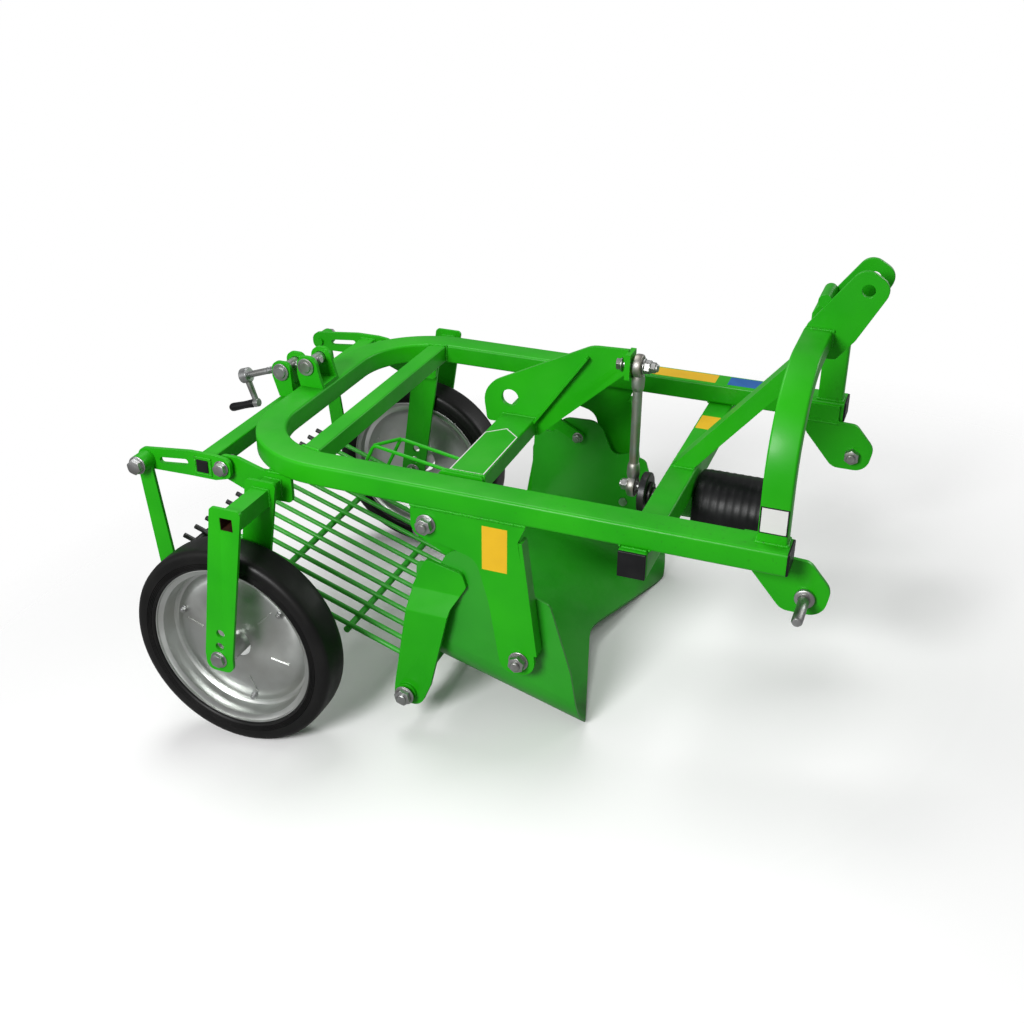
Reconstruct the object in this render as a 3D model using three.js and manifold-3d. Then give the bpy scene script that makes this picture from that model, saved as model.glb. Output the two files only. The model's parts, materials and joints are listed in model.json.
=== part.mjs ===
// Single-row vibrating potato digger for a three-point hitch.
// Millimetres, +X forward to the tractor, +Y left, +Z up.
// The machine is drawn level, with the top of its rails at z = 0 and their front ends at x = 0,
// and is then set down on its wheels and share, with the origin under the middle of its box.
import * as THREE from 'three';
import { mergeVertices } from 'three/addons/utils/BufferGeometryUtils.js';
import Module from 'manifold-3d';

const wasm = await Module();
wasm.setup();

// ---------------------------------------------------------------- driving dimensions
const GAP = 0.3;                    // clearance between faces that meet
const PIN_FIT = 0.5;                // radial clearance of a pin in its eye
const ARC_STEP = Math.PI / 16;      // largest turn between two points of a rounded corner

const HITCH_SPAN = 683;             // over the outer faces of the lower hitch plates
const RAIL_WIDTH = 70;
const RAIL_HEIGHT = 50;
const FRAME_LENGTH = 1250;          // rail front ends to the back of the rear bar
const FRAME_BEND = 240;             // outer radius of the two rear bends
const RAIL_IN = HITCH_SPAN / 2 + GAP;
const RAIL_OUT = RAIL_IN + RAIL_WIDTH;
const FRAME_BACK = -FRAME_LENGTH;

const REAR_TUBE = 45;
const REAR_TUBE_X = FRAME_BACK + 200;
const FRONT_TUBE = 60;
const FRONT_TUBE_X = -293;
const FRONT_TUBE_OVERHANG = 12;
const FRONT_TUBE_TOP = -RAIL_HEIGHT - GAP;
const FRONT_TUBE_BOTTOM = FRONT_TUBE_TOP - FRONT_TUBE;

const MAST_DEPTH = 58;              // size of a mast leg along X
const MAST_WALL = 35;               // size of a mast leg across its bend
const MAST_X = -35;                 // middle of the mast legs
const MAST_INSET = 28.8;            // rail's outer face to the outside of a leg's foot
const MAST_FOOT = RAIL_OUT - MAST_INSET;
const MAST_TOP = 316;
const MAST_BEND = 212;
const TOP_LINK_GAP = 82;            // between the two top-link plates
const TOP_LINK_PLATE = 10;
const TOP_HOLE = [51, 405];
const TOP_HOLE_RADIUS = 13;

const HITCH_PLATE = 10;
const HITCH_PIN = [34, -126];
const HITCH_PIN_RADIUS = 11;
const HITCH_PIN_REACH = 97;

const LEG_PLATE = 10;
const LEG_OUT = RAIL_OUT - 3;       // outer face of a leg plate
const SHARE_PIVOT = [-533, -381];
const ROCKER_PIVOT = [-742, -89];
const PIVOT_RADIUS = 11;

const WHEEL_RADIUS = 249;
const WHEEL_WIDTH = 90;
const WHEEL_OVERHANG = 124.2;       // rail's outer face to the outer face of a tyre
const WHEEL_OUT = RAIL_OUT + WHEEL_OVERHANG;
const RIM_RADIUS = 200;
const HUB_RADIUS = 26;
const AXLE = [FRAME_BACK + 70, -438];
const AXLE_RADIUS = 10;
const FORK_TOP = [FRAME_BACK + 128, -85];
const FORK_PLATE = 8;
const FORK_GAP = 9;                 // between a tyre and its fork plates
const FORK_TUBE = 40;
const BRACKET_PLATE = 10;
const BRACKET_INSET = 25.8;         // rail's outer face to the outer face of a fork bracket
const BRACKET_OUT = RAIL_OUT - BRACKET_INSET;

const SHARE_ROOM = 36.8;            // leg plate's outer face to the side of the share
const SHARE_HALF = LEG_OUT - SHARE_ROOM;
const SHARE_SHEET = 6;
const SHARE_CORNER = 80;
const SHARE_SLOPE = 0.285;          // fall of the share's floor for each mm forward
const SHARE_TIP = [-402, -573];
const SHARE_REAR_X = -795;
const SHARE_NOTCH = 98;
const EAR_PIN = [-658, -206];
const STRAP_PLATE = 10;
const STRAP_SET = 33;               // how far a strap's lower part stands out from the share
const STRAP_OUT = SHARE_HALF + STRAP_SET;

const SIEVE_FRONT = [-803, -538];   // front cross rod, hinged in the straps
const SIEVE_REAR = [FRAME_BACK - 155, -332];   // rear cross rod, held by the hangers
const SIEVE_PITCH = 46;
const SIEVE_EDGE = 44;              // least room from the share's side to the last bar
const SIEVE_BAR_COUNT = 2 * Math.floor((SHARE_HALF - SIEVE_EDGE) / SIEVE_PITCH) + 1;
const SIEVE_BAR_RADIUS = 6;
const SIEVE_FRONT_ROD = 15;
const SIEVE_REAR_ROD = 12;
const SIEVE_TIE = 8;                // radius of the two rods under the bars
const SIEVE_TAIL = 30;              // bars past the rear cross rod

const ROCKER_TUBE_X = -688;
const ROCKER_TUBE = [84, 42];
const ROCKER_ARM = 12;
const CHEEK_PLATE = 10;
const CHEEK_ROOM = 41;              // outer face of a cheek to the side of the share
const CHEEK_OUT = SHARE_HALF - CHEEK_ROOM;
const LINK_PIN = [-785, -140];
const LINK_PLATE = 8;
const LINK_ROOM = 18;               // outer face of a link bar to the side of the share
const LINK_OUT = SHARE_HALF - LINK_ROOM;
const SMALL_PIN = 7;
const ROD_EYE = [-412, 162];        // upper eye of the connecting rod
const ROD_EYE_RADIUS = 24;
const ROD_EYE_WIDTH = 20;
const ROD_RADIUS = 10;
const ROD_PIN = 9;

const HOUSING_RADIUS = 36;
const SHAFT_RADIUS = 17.5;
const SHAFT_Z = FRONT_TUBE_BOTTOM - GAP - HOUSING_RADIUS;
const SHAFT_FRONT_X = -80;
const CRANK_THROW = 15;
const CRANK_DISC = [50, 18];        // radius and thickness
const CRANK_FACE_X = -390;
const CRANK_ROOM = 1.5;             // crank disc to the end of the rod's pin, as the rod leans
const GUARD_RADIUS = 80;
const GUARD_WALL = 4;
const GUARD_X = [FRONT_TUBE_X + FRONT_TUBE / 2 + 5, -75];

const LIFT_PIVOT = [FRAME_BACK + 10, -54];
const LIFT_TUBE = 40;
const LIFT_TUBE_AT = [FRAME_BACK - 38, -57];
const LIFT_ARM = 10;
const LIFT_ARM_INSET = 6.8;         // rail's outer face to the outer face of a lift arm
const LIFT_ARM_OUT = RAIL_OUT - LIFT_ARM_INSET;
const HANGER_TOP = [FRAME_BACK - 188, -66];
const BOSS_RADIUS = 22;
const BOSS_WIDTH = 36;
const HANGER_PLATE = 8;
const LUG_PLATE = 10;
const LUG_IN = 30;                  // inner face of the spindle lugs from the middle
const FRAME_TRUNNION = [FRAME_BACK + 23, 52];
const LIFT_TRUNNION = [FRAME_BACK - 48, 28];
const TRUNNION_RADIUS = 15;
const SPINDLE_RADIUS = 9;
const SPINDLE_SWING = 0.9;          // radial room for the spindle as the lift turns
const SPINDLE_REACH = 136;          // lift trunnion to the crank hub
const HANDLE_ARM = 75;
const GRIP_LENGTH = 75;
const GRIP_RADIUS = 11;

// ---------------------------------------------------------------- finishes
const paint = new THREE.MeshStandardMaterial({ color: '#2fae22', roughness: 0.32, metalness: 0.1 });
const zinc = new THREE.MeshStandardMaterial({ color: '#b9bdc0', roughness: 0.3, metalness: 1 });
const galvanised = new THREE.MeshStandardMaterial({ color: '#c3c6c6', roughness: 0.38, metalness: 1 });
const rubber = new THREE.MeshStandardMaterial({ color: '#151515', roughness: 0.55, metalness: 0 });
const plastic = new THREE.MeshStandardMaterial({ color: '#101012', roughness: 0.42, metalness: 0 });
const castSteel = new THREE.MeshStandardMaterial({ color: '#26282a', roughness: 0.5, metalness: 0.8 });

// ---------------------------------------------------------------- solids
/** Turns a closed three.js geometry into a manifold solid. */
function toSolid(geometry) {
  const bare = geometry.index ? geometry.toNonIndexed() : geometry.clone();
  bare.deleteAttribute('normal');
  bare.deleteAttribute('uv');
  const merged = mergeVertices(bare, 1e-3);
  return new wasm.Manifold(new wasm.Mesh({
    numProp: 3,
    vertProperties: Float32Array.from(merged.attributes.position.array),
    triVerts: Uint32Array.from(merged.index.array),
  }));
}

/** Turns a manifold solid back into a three.js geometry. */
function fromSolid(solid) {
  const mesh = solid.getMesh();
  const geometry = new THREE.BufferGeometry();
  geometry.setAttribute('position', new THREE.BufferAttribute(mesh.vertProperties, 3));
  geometry.setIndex(new THREE.BufferAttribute(mesh.triVerts, 1));
  geometry.computeVertexNormals();
  return geometry;
}

/** Joins geometries into one solid. */
function join(...parts) {
  return fromSolid(parts.map(toSolid).reduce((sum, part) => sum.add(part)));
}

/** Cuts the later geometries out of the first. */
function cut(body, ...tools) {
  return fromSolid(tools.map(toSolid).reduce((rest, tool) => rest.subtract(tool), toSolid(body)));
}

/** Keeps what two geometries share. */
function common(first, second) {
  return fromSolid(toSolid(first).intersect(toSolid(second)));
}

/** A closed outline of corners [u, v, fillet radius]; a fillet takes at most half of an edge. */
function outline(corners) {
  const points = [];
  const count = corners.length;
  corners.forEach(([u, v, radius = 0], index) => {
    const corner = new THREE.Vector2(u, v);
    if (!radius) {
      points.push(corner);
      return;
    }
    const before = corners[(index + count - 1) % count];
    const after = corners[(index + 1) % count];
    const back = new THREE.Vector2(before[0] - u, before[1] - v);
    const ahead = new THREE.Vector2(after[0] - u, after[1] - v);
    const room = 0.49 * Math.min(back.length(), ahead.length());
    back.normalize();
    ahead.normalize();
    const half = Math.acos(THREE.MathUtils.clamp(back.dot(ahead), -1, 1)) / 2;
    const reach = Math.min(radius / Math.tan(half), room);
    const fillet = reach * Math.tan(half);
    const inward = back.clone().add(ahead).normalize();
    const centre = corner.clone().addScaledVector(inward, fillet / Math.sin(half));
    const first = corner.clone().addScaledVector(back, reach).sub(centre).angle();
    const sweep = (back.cross(ahead) > 0 ? -1 : 1) * (Math.PI - 2 * half);
    const pieces = Math.max(2, Math.ceil(Math.abs(sweep) / ARC_STEP));
    for (let piece = 0; piece <= pieces; piece += 1) {
      const angle = first + sweep * piece / pieces;
      points.push(new THREE.Vector2(Math.cos(angle), Math.sin(angle)).multiplyScalar(fillet).add(centre));
    }
  });
  return new THREE.Shape(points);
}

/** Adds round holes [u, v, radius] to a shape. */
function pierce(shape, holes) {
  const sides = 24;
  for (const [u, v, radius] of holes) {
    const turns = Array.from({ length: sides }, (_, index) => 2 * Math.PI * index / sides);
    shape.holes.push(new THREE.Path(turns.map((turn) =>
      new THREE.Vector2(u + radius * Math.cos(turn), v + radius * Math.sin(turn)))));
  }
  return shape;
}

const extrude = (shape, depth) =>
  new THREE.ExtrudeGeometry(shape, { depth, bevelEnabled: false, steps: 1 });

/** A plate whose outline is [x, z], between two values of y. */
function sidePlate(shape, yFrom, yTo) {
  const low = Math.min(yFrom, yTo);
  const high = Math.max(yFrom, yTo);
  return extrude(shape, high - low).rotateX(Math.PI / 2).translate(0, high, 0);
}

/** A plate whose outline is [x, y], between two values of z. */
function flatPlate(shape, zFrom, zTo) {
  return extrude(shape, zTo - zFrom).translate(0, 0, zFrom);
}

/** A plate whose outline is [y, z], between two values of x. */
function crossPlate(shape, xFrom, xTo) {
  return extrude(shape, xTo - xFrom)
    .rotateX(Math.PI / 2).rotateZ(Math.PI / 2).translate(xFrom, 0, 0);
}

/** A box between two corners. */
function block([x0, y0, z0], [x1, y1, z1]) {
  return new THREE.BoxGeometry(Math.abs(x1 - x0), Math.abs(y1 - y0), Math.abs(z1 - z0))
    .translate((x0 + x1) / 2, (y0 + y1) / 2, (z0 + z1) / 2);
}

/** A round bar from one point to another. */
function bar(from, to, radius, sides = 16) {
  const start = new THREE.Vector3(...from);
  const axis = new THREE.Vector3(...to).sub(start);
  const turn = new THREE.Quaternion().setFromUnitVectors(
    new THREE.Vector3(0, 1, 0), axis.clone().normalize());
  const middle = start.clone().addScaledVector(axis, 0.5);
  return new THREE.CylinderGeometry(radius, radius, axis.length(), sides)
    .applyQuaternion(turn).translate(middle.x, middle.y, middle.z);
}

/** A round bar along Y through [x, z]. */
const crossBar = ([x, z], yFrom, yTo, radius, sides = 20) =>
  bar([x, Math.min(yFrom, yTo), z], [x, Math.max(yFrom, yTo), z], radius, sides);

/** A round body along Y from a closed profile of [radius, y]. */
function turned(profile, [x, z], segments = 40) {
  const points = profile.map(([radius, along]) => new THREE.Vector2(radius, along));
  return new THREE.LatheGeometry(points, segments).translate(x, 0, z);
}

// ---------------------------------------------------------------- scene graph
const machine = new THREE.Group();

/** A group for one moving body, placed at its pivot [x, z] inside its parent's group. */
function hinged(name, parent, [x, z]) {
  const group = new THREE.Group();
  group.name = name;
  const pivot = new THREE.Vector3(x, 0, z);
  group.position.copy(pivot).sub(parent.userData.pivot ?? new THREE.Vector3());
  group.userData.pivot = pivot;
  parent.add(group);
  return group;
}

/** Adds a named mesh, drawn in the level machine's frame, to a body's group. */
function place(group, name, geometry, material) {
  const mesh = new THREE.Mesh(geometry, material);
  mesh.name = name;
  mesh.position.sub(group.userData.pivot ?? new THREE.Vector3());
  group.add(mesh);
}

/** Adds the right and left copies of a piece; build(side) draws one, side = -1 right, 1 left. */
function placePair(group, name, build, material) {
  place(group, `${name}_right`, build(-1), material);
  place(group, `${name}_left`, build(1), material);
}

const spindleLine = new THREE.Vector2(...FRAME_TRUNNION).sub(new THREE.Vector2(...LIFT_TRUNNION));
const spindleTurn = spindleLine.angle();
const alongSpindle = (distance, across = 0) => [
  LIFT_TRUNNION[0] + Math.cos(spindleTurn) * distance - Math.sin(spindleTurn) * across,
  LIFT_TRUNNION[1] + Math.sin(spindleTurn) * distance + Math.cos(spindleTurn) * across,
];

// ---------------------------------------------------------------- main frame
function mainFrame() {
  const inner = FRAME_BEND - RAIL_WIDTH;
  const back = FRAME_BACK + RAIL_WIDTH;
  return flatPlate(outline([
    [0, -RAIL_OUT], [0, -RAIL_IN], [back, -RAIL_IN, inner], [back, RAIL_IN, inner],
    [0, RAIL_IN], [0, RAIL_OUT], [FRAME_BACK, RAIL_OUT, FRAME_BEND],
    [FRAME_BACK, -RAIL_OUT, FRAME_BEND],
  ]), -RAIL_HEIGHT, 0);
}

/** The room between the rails, less a gap all round. */
function betweenRails() {
  const end = RAIL_IN - GAP;
  const back = FRAME_BACK + RAIL_WIDTH + GAP;
  const bend = FRAME_BEND - RAIL_WIDTH - GAP;
  return flatPlate(outline([[0, -end], [0, end], [back, end, bend], [back, -end, bend]]), -REAR_TUBE - 9, 9);
}

function rearCrossTube() {
  const half = REAR_TUBE / 2;
  return common(betweenRails(),
    block([REAR_TUBE_X - half, -RAIL_IN, -1 - REAR_TUBE], [REAR_TUBE_X + half, RAIL_IN, -1]));
}

function frontCrossTube() {
  const half = FRONT_TUBE / 2;
  const end = RAIL_OUT + FRONT_TUBE_OVERHANG;
  return block([FRONT_TUBE_X - half, -end, FRONT_TUBE_BOTTOM],
    [FRONT_TUBE_X + half, end, FRONT_TUBE_TOP]);
}

const topLinkOut = TOP_LINK_GAP / 2 + TOP_LINK_PLATE;

function mastLeg(side) {
  const start = topLinkOut + GAP;
  const under = MAST_TOP - MAST_WALL;
  const leg = crossPlate(outline([
    [start, MAST_TOP], [start, under], [MAST_FOOT - MAST_WALL, under, MAST_BEND - MAST_WALL],
    [MAST_FOOT - MAST_WALL, GAP], [MAST_FOOT, GAP], [MAST_FOOT, MAST_TOP, MAST_BEND],
  ]), MAST_X - MAST_DEPTH / 2, MAST_X + MAST_DEPTH / 2);
  return side > 0 ? leg : leg.rotateZ(Math.PI).translate(2 * MAST_X, 0, 0);
}

function topLinkPlate(side) {
  const [x, z] = TOP_HOLE;
  const rear = MAST_X - MAST_DEPTH / 2 + 4;
  const front = MAST_X + MAST_DEPTH / 2 + 10;
  const low = MAST_TOP - MAST_WALL - 25;
  const shape = outline([
    [x - 13, z + 49, 30], [rear, z - 84, 14], [rear, low, 6], [front, low, 8], [x - 13, z - 105, 40],
    [x + 49, z + 13, 30],
  ]);
  pierce(shape, [[x, z, TOP_HOLE_RADIUS]]);
  return sidePlate(shape, side * TOP_LINK_GAP / 2, side * topLinkOut);
}

function mastSpacer() {
  const end = TOP_LINK_GAP / 2 - GAP;
  return crossBar([MAST_X + 5, MAST_TOP + 55], -end, end, 14);
}

function mastBrace() {
  const width = 30;
  const thick = 36;
  const foot = new THREE.Vector2(FRONT_TUBE_X, FRONT_TUBE_TOP + GAP);
  const head = new THREE.Vector2(MAST_X + 16, MAST_TOP - 38);
  const run = head.clone().sub(foot).normalize();
  const across = new THREE.Vector2(-run.y, run.x).multiplyScalar(thick / 2);
  const spread = thick / 2 / run.y;
  const tube = sidePlate(outline([
    [foot.x - spread, foot.y], [foot.x + spread, foot.y],
    [head.x - across.x, head.y - across.y], [head.x + across.x, head.y + across.y],
  ]), -width, width);
  const tie = TOP_LINK_GAP / 2 - GAP;
  return join(tube, bar([head.x, -tie, head.y], [head.x, tie, head.y], thick / 3, 20));
}

function hitchPlate(side) {
  const [x, z] = HITCH_PIN;
  const top = -6;
  const shape = outline([
    [x - 130, top], [-8, top], [-8, -RAIL_HEIGHT + 4, 6], [x + 2, -RAIL_HEIGHT + 2, 22],
    [x + 48, z + 24, 34], [x + 36, z - 38, 36], [x - 44, z - 38, 30], [x - 112, -RAIL_HEIGHT - 34, 20],
    [x - 130, -RAIL_HEIGHT - 4, 6],
  ]);
  pierce(shape, [[x, z, HITCH_PIN_RADIUS + GAP]]);
  return sidePlate(shape, side * HITCH_SPAN / 2, side * (HITCH_SPAN / 2 - HITCH_PLATE));
}

function hitchPin(side) {
  const inside = HITCH_SPAN / 2 - HITCH_PLATE - GAP;
  const face = HITCH_SPAN / 2 + GAP;
  const shank = crossBar(HITCH_PIN, side * (inside - 26), side * (face + HITCH_PIN_REACH),
    HITCH_PIN_RADIUS);
  const collar = crossBar(HITCH_PIN, side * face, side * (face + 9), 19);
  const nut = crossBar(HITCH_PIN, side * inside, side * (inside - 18), 18, 6);
  return join(shank, collar, nut);
}

function frontLegPlate(side) {
  const inside = LEG_OUT - LEG_PLATE;
  const [px, pz] = SHARE_PIVOT;
  const [rx, rz] = ROCKER_PIVOT;
  const top = -RAIL_HEIGHT - GAP;
  const shape = outline([
    [rx - 36, top], [rx - 36, rz - 34, 34], [rx + 30, rz - 40, 30], [rx + 112, rz - 62, 40],
    [rx + 140, rz - 160, 60], [px - 40, pz - 36, 34], [px + 38, pz - 34, 34], [px + 33, pz + 40],
    [px - 4, pz + 290, 10], [px + 14, top],
  ]);
  pierce(shape, [[rx, rz, PIVOT_RADIUS + GAP], [px, pz, PIVOT_RADIUS + GAP]]);
  const plate = sidePlate(shape, side * inside, side * LEG_OUT);
  const flange = sidePlate(outline([
    [px + 33, pz + 20], [px + 41, pz + 20], [px + 5, pz + 288], [px - 3, pz + 288],
  ]), side * (inside - 22), side * LEG_OUT);
  return join(plate, flange);
}

function pivotPin(at, innerEnd) {
  return (side) => {
    const shank = crossBar(at, side * innerEnd, side * (LEG_OUT + 10), PIVOT_RADIUS);
    const head = crossBar(at, side * (LEG_OUT + GAP), side * (LEG_OUT + 12), 17, 6);
    return join(shank, head);
  };
}

function forkBracket(side) {
  const inside = BRACKET_OUT - BRACKET_PLATE;
  const [lx, lz] = LIFT_PIVOT;
  const [fx, fz] = FORK_TOP;
  const top = -RAIL_HEIGHT - GAP;
  const shape = outline([
    [lx - 24, lz + 22, 22], [lx - 24, lz - 26, 22], [fx - 48, fz - 34, 12], [fx + 46, fz - 34, 12],
    [fx + 46, top], [FRAME_BACK + 100, top], [lx + 30, lz + 22, 6],
  ]);
  pierce(shape, [[lx, lz, PIVOT_RADIUS + PIN_FIT]]);
  return sidePlate(shape, side * inside, side * BRACKET_OUT);
}

const tyreIn = WHEEL_OUT - WHEEL_WIDTH;
const forkInnerFace = tyreIn - FORK_GAP;
const forkOuterFace = WHEEL_OUT + FORK_GAP + 22;

function wheelFork(side) {
  const [ax, az] = AXLE;
  const [fx, fz] = FORK_TOP;
  const leg = () => pierce(outline([
    [fx - 38, fz + 36, 10], [ax - 34, az + 10], [ax - 33, az - 31, 30], [ax + 35, az - 31, 30],
    [ax + 36, az + 10], [fx + 38, fz + 36, 10],
  ]), [0, 1, 2].map((step) => [ax + step * 5.5, az + step * 35, AXLE_RADIUS + GAP]));
  const outer = sidePlate(leg(), side * forkOuterFace, side * (forkOuterFace + FORK_PLATE));
  const inner = sidePlate(leg(), side * forkInnerFace, side * (forkInnerFace - FORK_PLATE));
  const half = FORK_TUBE / 2;
  const tube = block([fx - half, side * (BRACKET_OUT + GAP), fz - half],
    [fx + half, side * (forkOuterFace + FORK_PLATE), fz + half]);
  const hollow = block([fx - half + 5, side * (forkOuterFace - 60), fz - half + 5],
    [fx + half - 5, side * (forkOuterFace + FORK_PLATE + 1), fz + half - 5]);
  return cut(join(outer, inner, tube), hollow);
}

function axle(side) {
  const from = forkInnerFace - FORK_PLATE - 10;
  const to = forkOuterFace + FORK_PLATE + 12;
  const shank = crossBar(AXLE, side * from, side * to, AXLE_RADIUS);
  const head = crossBar(AXLE, side * (to - 11), side * (to - 1), 16, 6);
  const nut = crossBar(AXLE, side * (forkInnerFace - FORK_PLATE - GAP), side * (from + 1), 16, 6);
  return join(shank, head, nut);
}

// ---------------------------------------------------------------- wheels
function mirrored(profile, side, middle) {
  const points = profile.map(([radius, along]) => [radius, side * (middle + along)]);
  return side > 0 ? points : points.reverse();
}

const wheelMiddle = (WHEEL_OUT + tyreIn) / 2;

function tyre(side) {
  const half = WHEEL_WIDTH / 2;
  const seat = RIM_RADIUS + GAP;
  return turned(mirrored([
    [seat, -half + 6], [seat + 8, -half], [WHEEL_RADIUS - 16, -half], [WHEEL_RADIUS - 5, -half + 6],
    [WHEEL_RADIUS - 1, -half + 18], [WHEEL_RADIUS, 0], [WHEEL_RADIUS - 1, half - 18],
    [WHEEL_RADIUS - 5, half - 6], [WHEEL_RADIUS - 16, half], [seat + 8, half], [seat, half - 6],
    [seat, -half + 6],
  ], side, wheelMiddle), AXLE);
}

function rim(side) {
  const half = WHEEL_WIDTH / 2 - 7;
  const bore = AXLE_RADIUS + PIN_FIT;
  const hubEnd = wheelMiddle - forkInnerFace - 1;
  return turned(mirrored([
    [bore, -hubEnd], [HUB_RADIUS, -hubEnd], [HUB_RADIUS, 4], [70, 10], [150, 2], [176, -14],
    [RIM_RADIUS - 6, -18], [RIM_RADIUS - 6, -half], [RIM_RADIUS, -half], [RIM_RADIUS, half],
    [RIM_RADIUS - 6, half], [RIM_RADIUS - 6, -13], [178, -9], [152, 7], [72, 15],
    [HUB_RADIUS + 4, 9], [HUB_RADIUS, 14], [HUB_RADIUS, forkOuterFace - wheelMiddle - 1],
    [bore, forkOuterFace - wheelMiddle - 1], [bore, -hubEnd],
  ], side, wheelMiddle), AXLE);
}

// ---------------------------------------------------------------- drive
function bearingHousing() {
  const half = FRONT_TUBE / 2;
  const rear = FRONT_TUBE_X - half - 24;
  const front = FRONT_TUBE_X + half + 16;
  const tube = bar([rear, 0, SHAFT_Z], [front, 0, SHAFT_Z], HOUSING_RADIUS, 32);
  const saddle = block([FRONT_TUBE_X - half, -HOUSING_RADIUS - 8, SHAFT_Z - 6],
    [FRONT_TUBE_X + half, HOUSING_RADIUS + 8, FRONT_TUBE_BOTTOM - GAP]);
  const bore = bar([rear - 1, 0, SHAFT_Z], [front + 1, 0, SHAFT_Z], SHAFT_RADIUS + PIN_FIT, 32);
  return cut(join(tube, saddle), bore);
}

function shaftGuard() {
  const [rear, front] = GUARD_X;
  const inner = GUARD_RADIUS - GUARD_WALL;
  const profile = [
    [HOUSING_RADIUS + GAP, rear], [HOUSING_RADIUS + GAP, rear + GUARD_WALL],
    [inner, rear + GUARD_WALL], [inner, front], [GUARD_RADIUS, front], [GUARD_RADIUS, rear],
    [HOUSING_RADIUS + GAP, rear],
  ].map(([radius, along]) => new THREE.Vector2(radius, along));
  return new THREE.LatheGeometry(profile.reverse(), 48).rotateZ(-Math.PI / 2).translate(0, 0, SHAFT_Z);
}

function inputShaft() {
  const [radius, thick] = CRANK_DISC;
  const disc = bar([CRANK_FACE_X, 0, SHAFT_Z], [CRANK_FACE_X + thick, 0, SHAFT_Z], radius, 40);
  const shaft = bar([CRANK_FACE_X + 2, 0, SHAFT_Z], [SHAFT_FRONT_X, 0, SHAFT_Z], SHAFT_RADIUS, 24);
  return join(disc, shaft);
}

// ---------------------------------------------------------------- rocker and its rods
const cheekIn = CHEEK_OUT - CHEEK_PLATE;
const rockerTubeTop = 0;

function rockerTube() {
  const [depth, height] = ROCKER_TUBE;
  const end = cheekIn - GAP;
  return block([ROCKER_TUBE_X - depth / 2, -end, rockerTubeTop - height],
    [ROCKER_TUBE_X + depth / 2, end, rockerTubeTop]);
}

function rockerCheek(side) {
  const [depth, height] = ROCKER_TUBE;
  const front = ROCKER_TUBE_X + depth / 2;
  const [rx, rz] = ROCKER_PIVOT;
  const [lx, lz] = LINK_PIN;
  const shape = outline([
    [front, rockerTubeTop - 2, 6], [rx - 2, rockerTubeTop - 2, 8], [rx - 34, rz + 14, 24],
    [lx - 26, lz - 4, 20], [lx + 2, lz - 26, 20], [rx + 34, rz - 22, 24],
    [front, rockerTubeTop - height, 8],
  ]);
  pierce(shape, [[rx, rz, PIVOT_RADIUS + PIN_FIT]]);
  const plate = sidePlate(shape, side * cheekIn, side * CHEEK_OUT);
  const pin = crossBar(LINK_PIN, side * (cheekIn + 1), side * (LINK_OUT + 5), SMALL_PIN);
  return join(plate, pin);
}

function rockerArm() {
  const [depth, height] = ROCKER_TUBE;
  const front = ROCKER_TUBE_X + depth / 2 + GAP;
  const rear = ROCKER_TUBE_X - depth / 2 - GAP;
  const top = rockerTubeTop + GAP;
  const [ex, ez] = ROD_EYE;
  const lugX = ex - ROD_EYE_WIDTH / 2 - 14;
  const shape = outline([
    [front, rockerTubeTop - height], [front, top], [rear, top], [rear, rockerTubeTop - 24],
    [rear - 38, rockerTubeTop - 24, 10], [rear - 50, 62, 68], [ROCKER_TUBE_X + 168, ez + 31, 60],
    [lugX, ez + 34], [lugX, ez - 18], [front + 6, rockerTubeTop - height, 4],
  ].reverse());
  pierce(shape, [[ROCKER_TUBE_X - 24, 40, 21]]);
  const plate = sidePlate(shape, -ROCKER_ARM / 2, ROCKER_ARM / 2);
  const lug = block([lugX - 2, -25, ez - 28], [lugX + 10, 25, ez + 30]);
  const boltEnd = ex + ROD_EYE_WIDTH / 2;
  const bolt = bar([lugX - 10, 0, ez], [boltEnd + 32, 0, ez], ROD_PIN, 16);
  const nut = bar([boltEnd + 2, 0, ez], [boltEnd + 22, 0, ez], 15, 6);
  return join(plate, lug, bolt, nut);
}

function rodEye(z) {
  const [x] = ROD_EYE;
  const half = ROD_EYE_WIDTH / 2;
  return bar([x - half, 0, z], [x + half, 0, z], ROD_EYE_RADIUS, 28);
}

const crankPinZ = SHAFT_Z + CRANK_THROW;

function connectingRod() {
  const [x, z] = ROD_EYE;
  const half = ROD_EYE_WIDTH / 2;
  const shank = bar([x, 0, crankPinZ + 10], [x, 0, z - 10], ROD_RADIUS, 20);
  const bore = bar([x - half - 1, 0, z], [x + half + 1, 0, z], ROD_PIN + PIN_FIT, 20);
  const pin = bar([x - half - 16, 0, crankPinZ], [CRANK_FACE_X - CRANK_ROOM, 0, crankPinZ], ROD_PIN, 16);
  const nut = bar([x - half - 13, 0, crankPinZ], [x - half - 1, 0, crankPinZ], 15, 6);
  return join(fromSolid(toSolid(join(rodEye(z), shank, rodEye(crankPinZ))).subtract(toSolid(bore))),
    pin, nut);
}

function linkBar(side) {
  const [ax, az] = LINK_PIN;
  const [bx, bz] = EAR_PIN;
  const length = Math.hypot(bx - ax, bz - az);
  const half = 15;
  const shape = pierce(outline([
    [-half, -half, half - 1], [length + half, -half, half - 1], [length + half, half, half - 1],
    [-half, half, half - 1],
  ]), [[0, 0, SMALL_PIN + PIN_FIT], [length, 0, SMALL_PIN + PIN_FIT]]);
  return sidePlate(shape, LINK_OUT, LINK_OUT - LINK_PLATE)
    .rotateY(-Math.atan2(bz - az, bx - ax)).translate(ax, side > 0 ? 0 : -2 * LINK_OUT + LINK_PLATE, az);
}

// ---------------------------------------------------------------- share
const floorZ = (x) => SHARE_TIP[1] - SHARE_SLOPE * (x - SHARE_TIP[0]);
const notchHalf = SHARE_HALF - SHARE_CORNER / 2;

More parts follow.
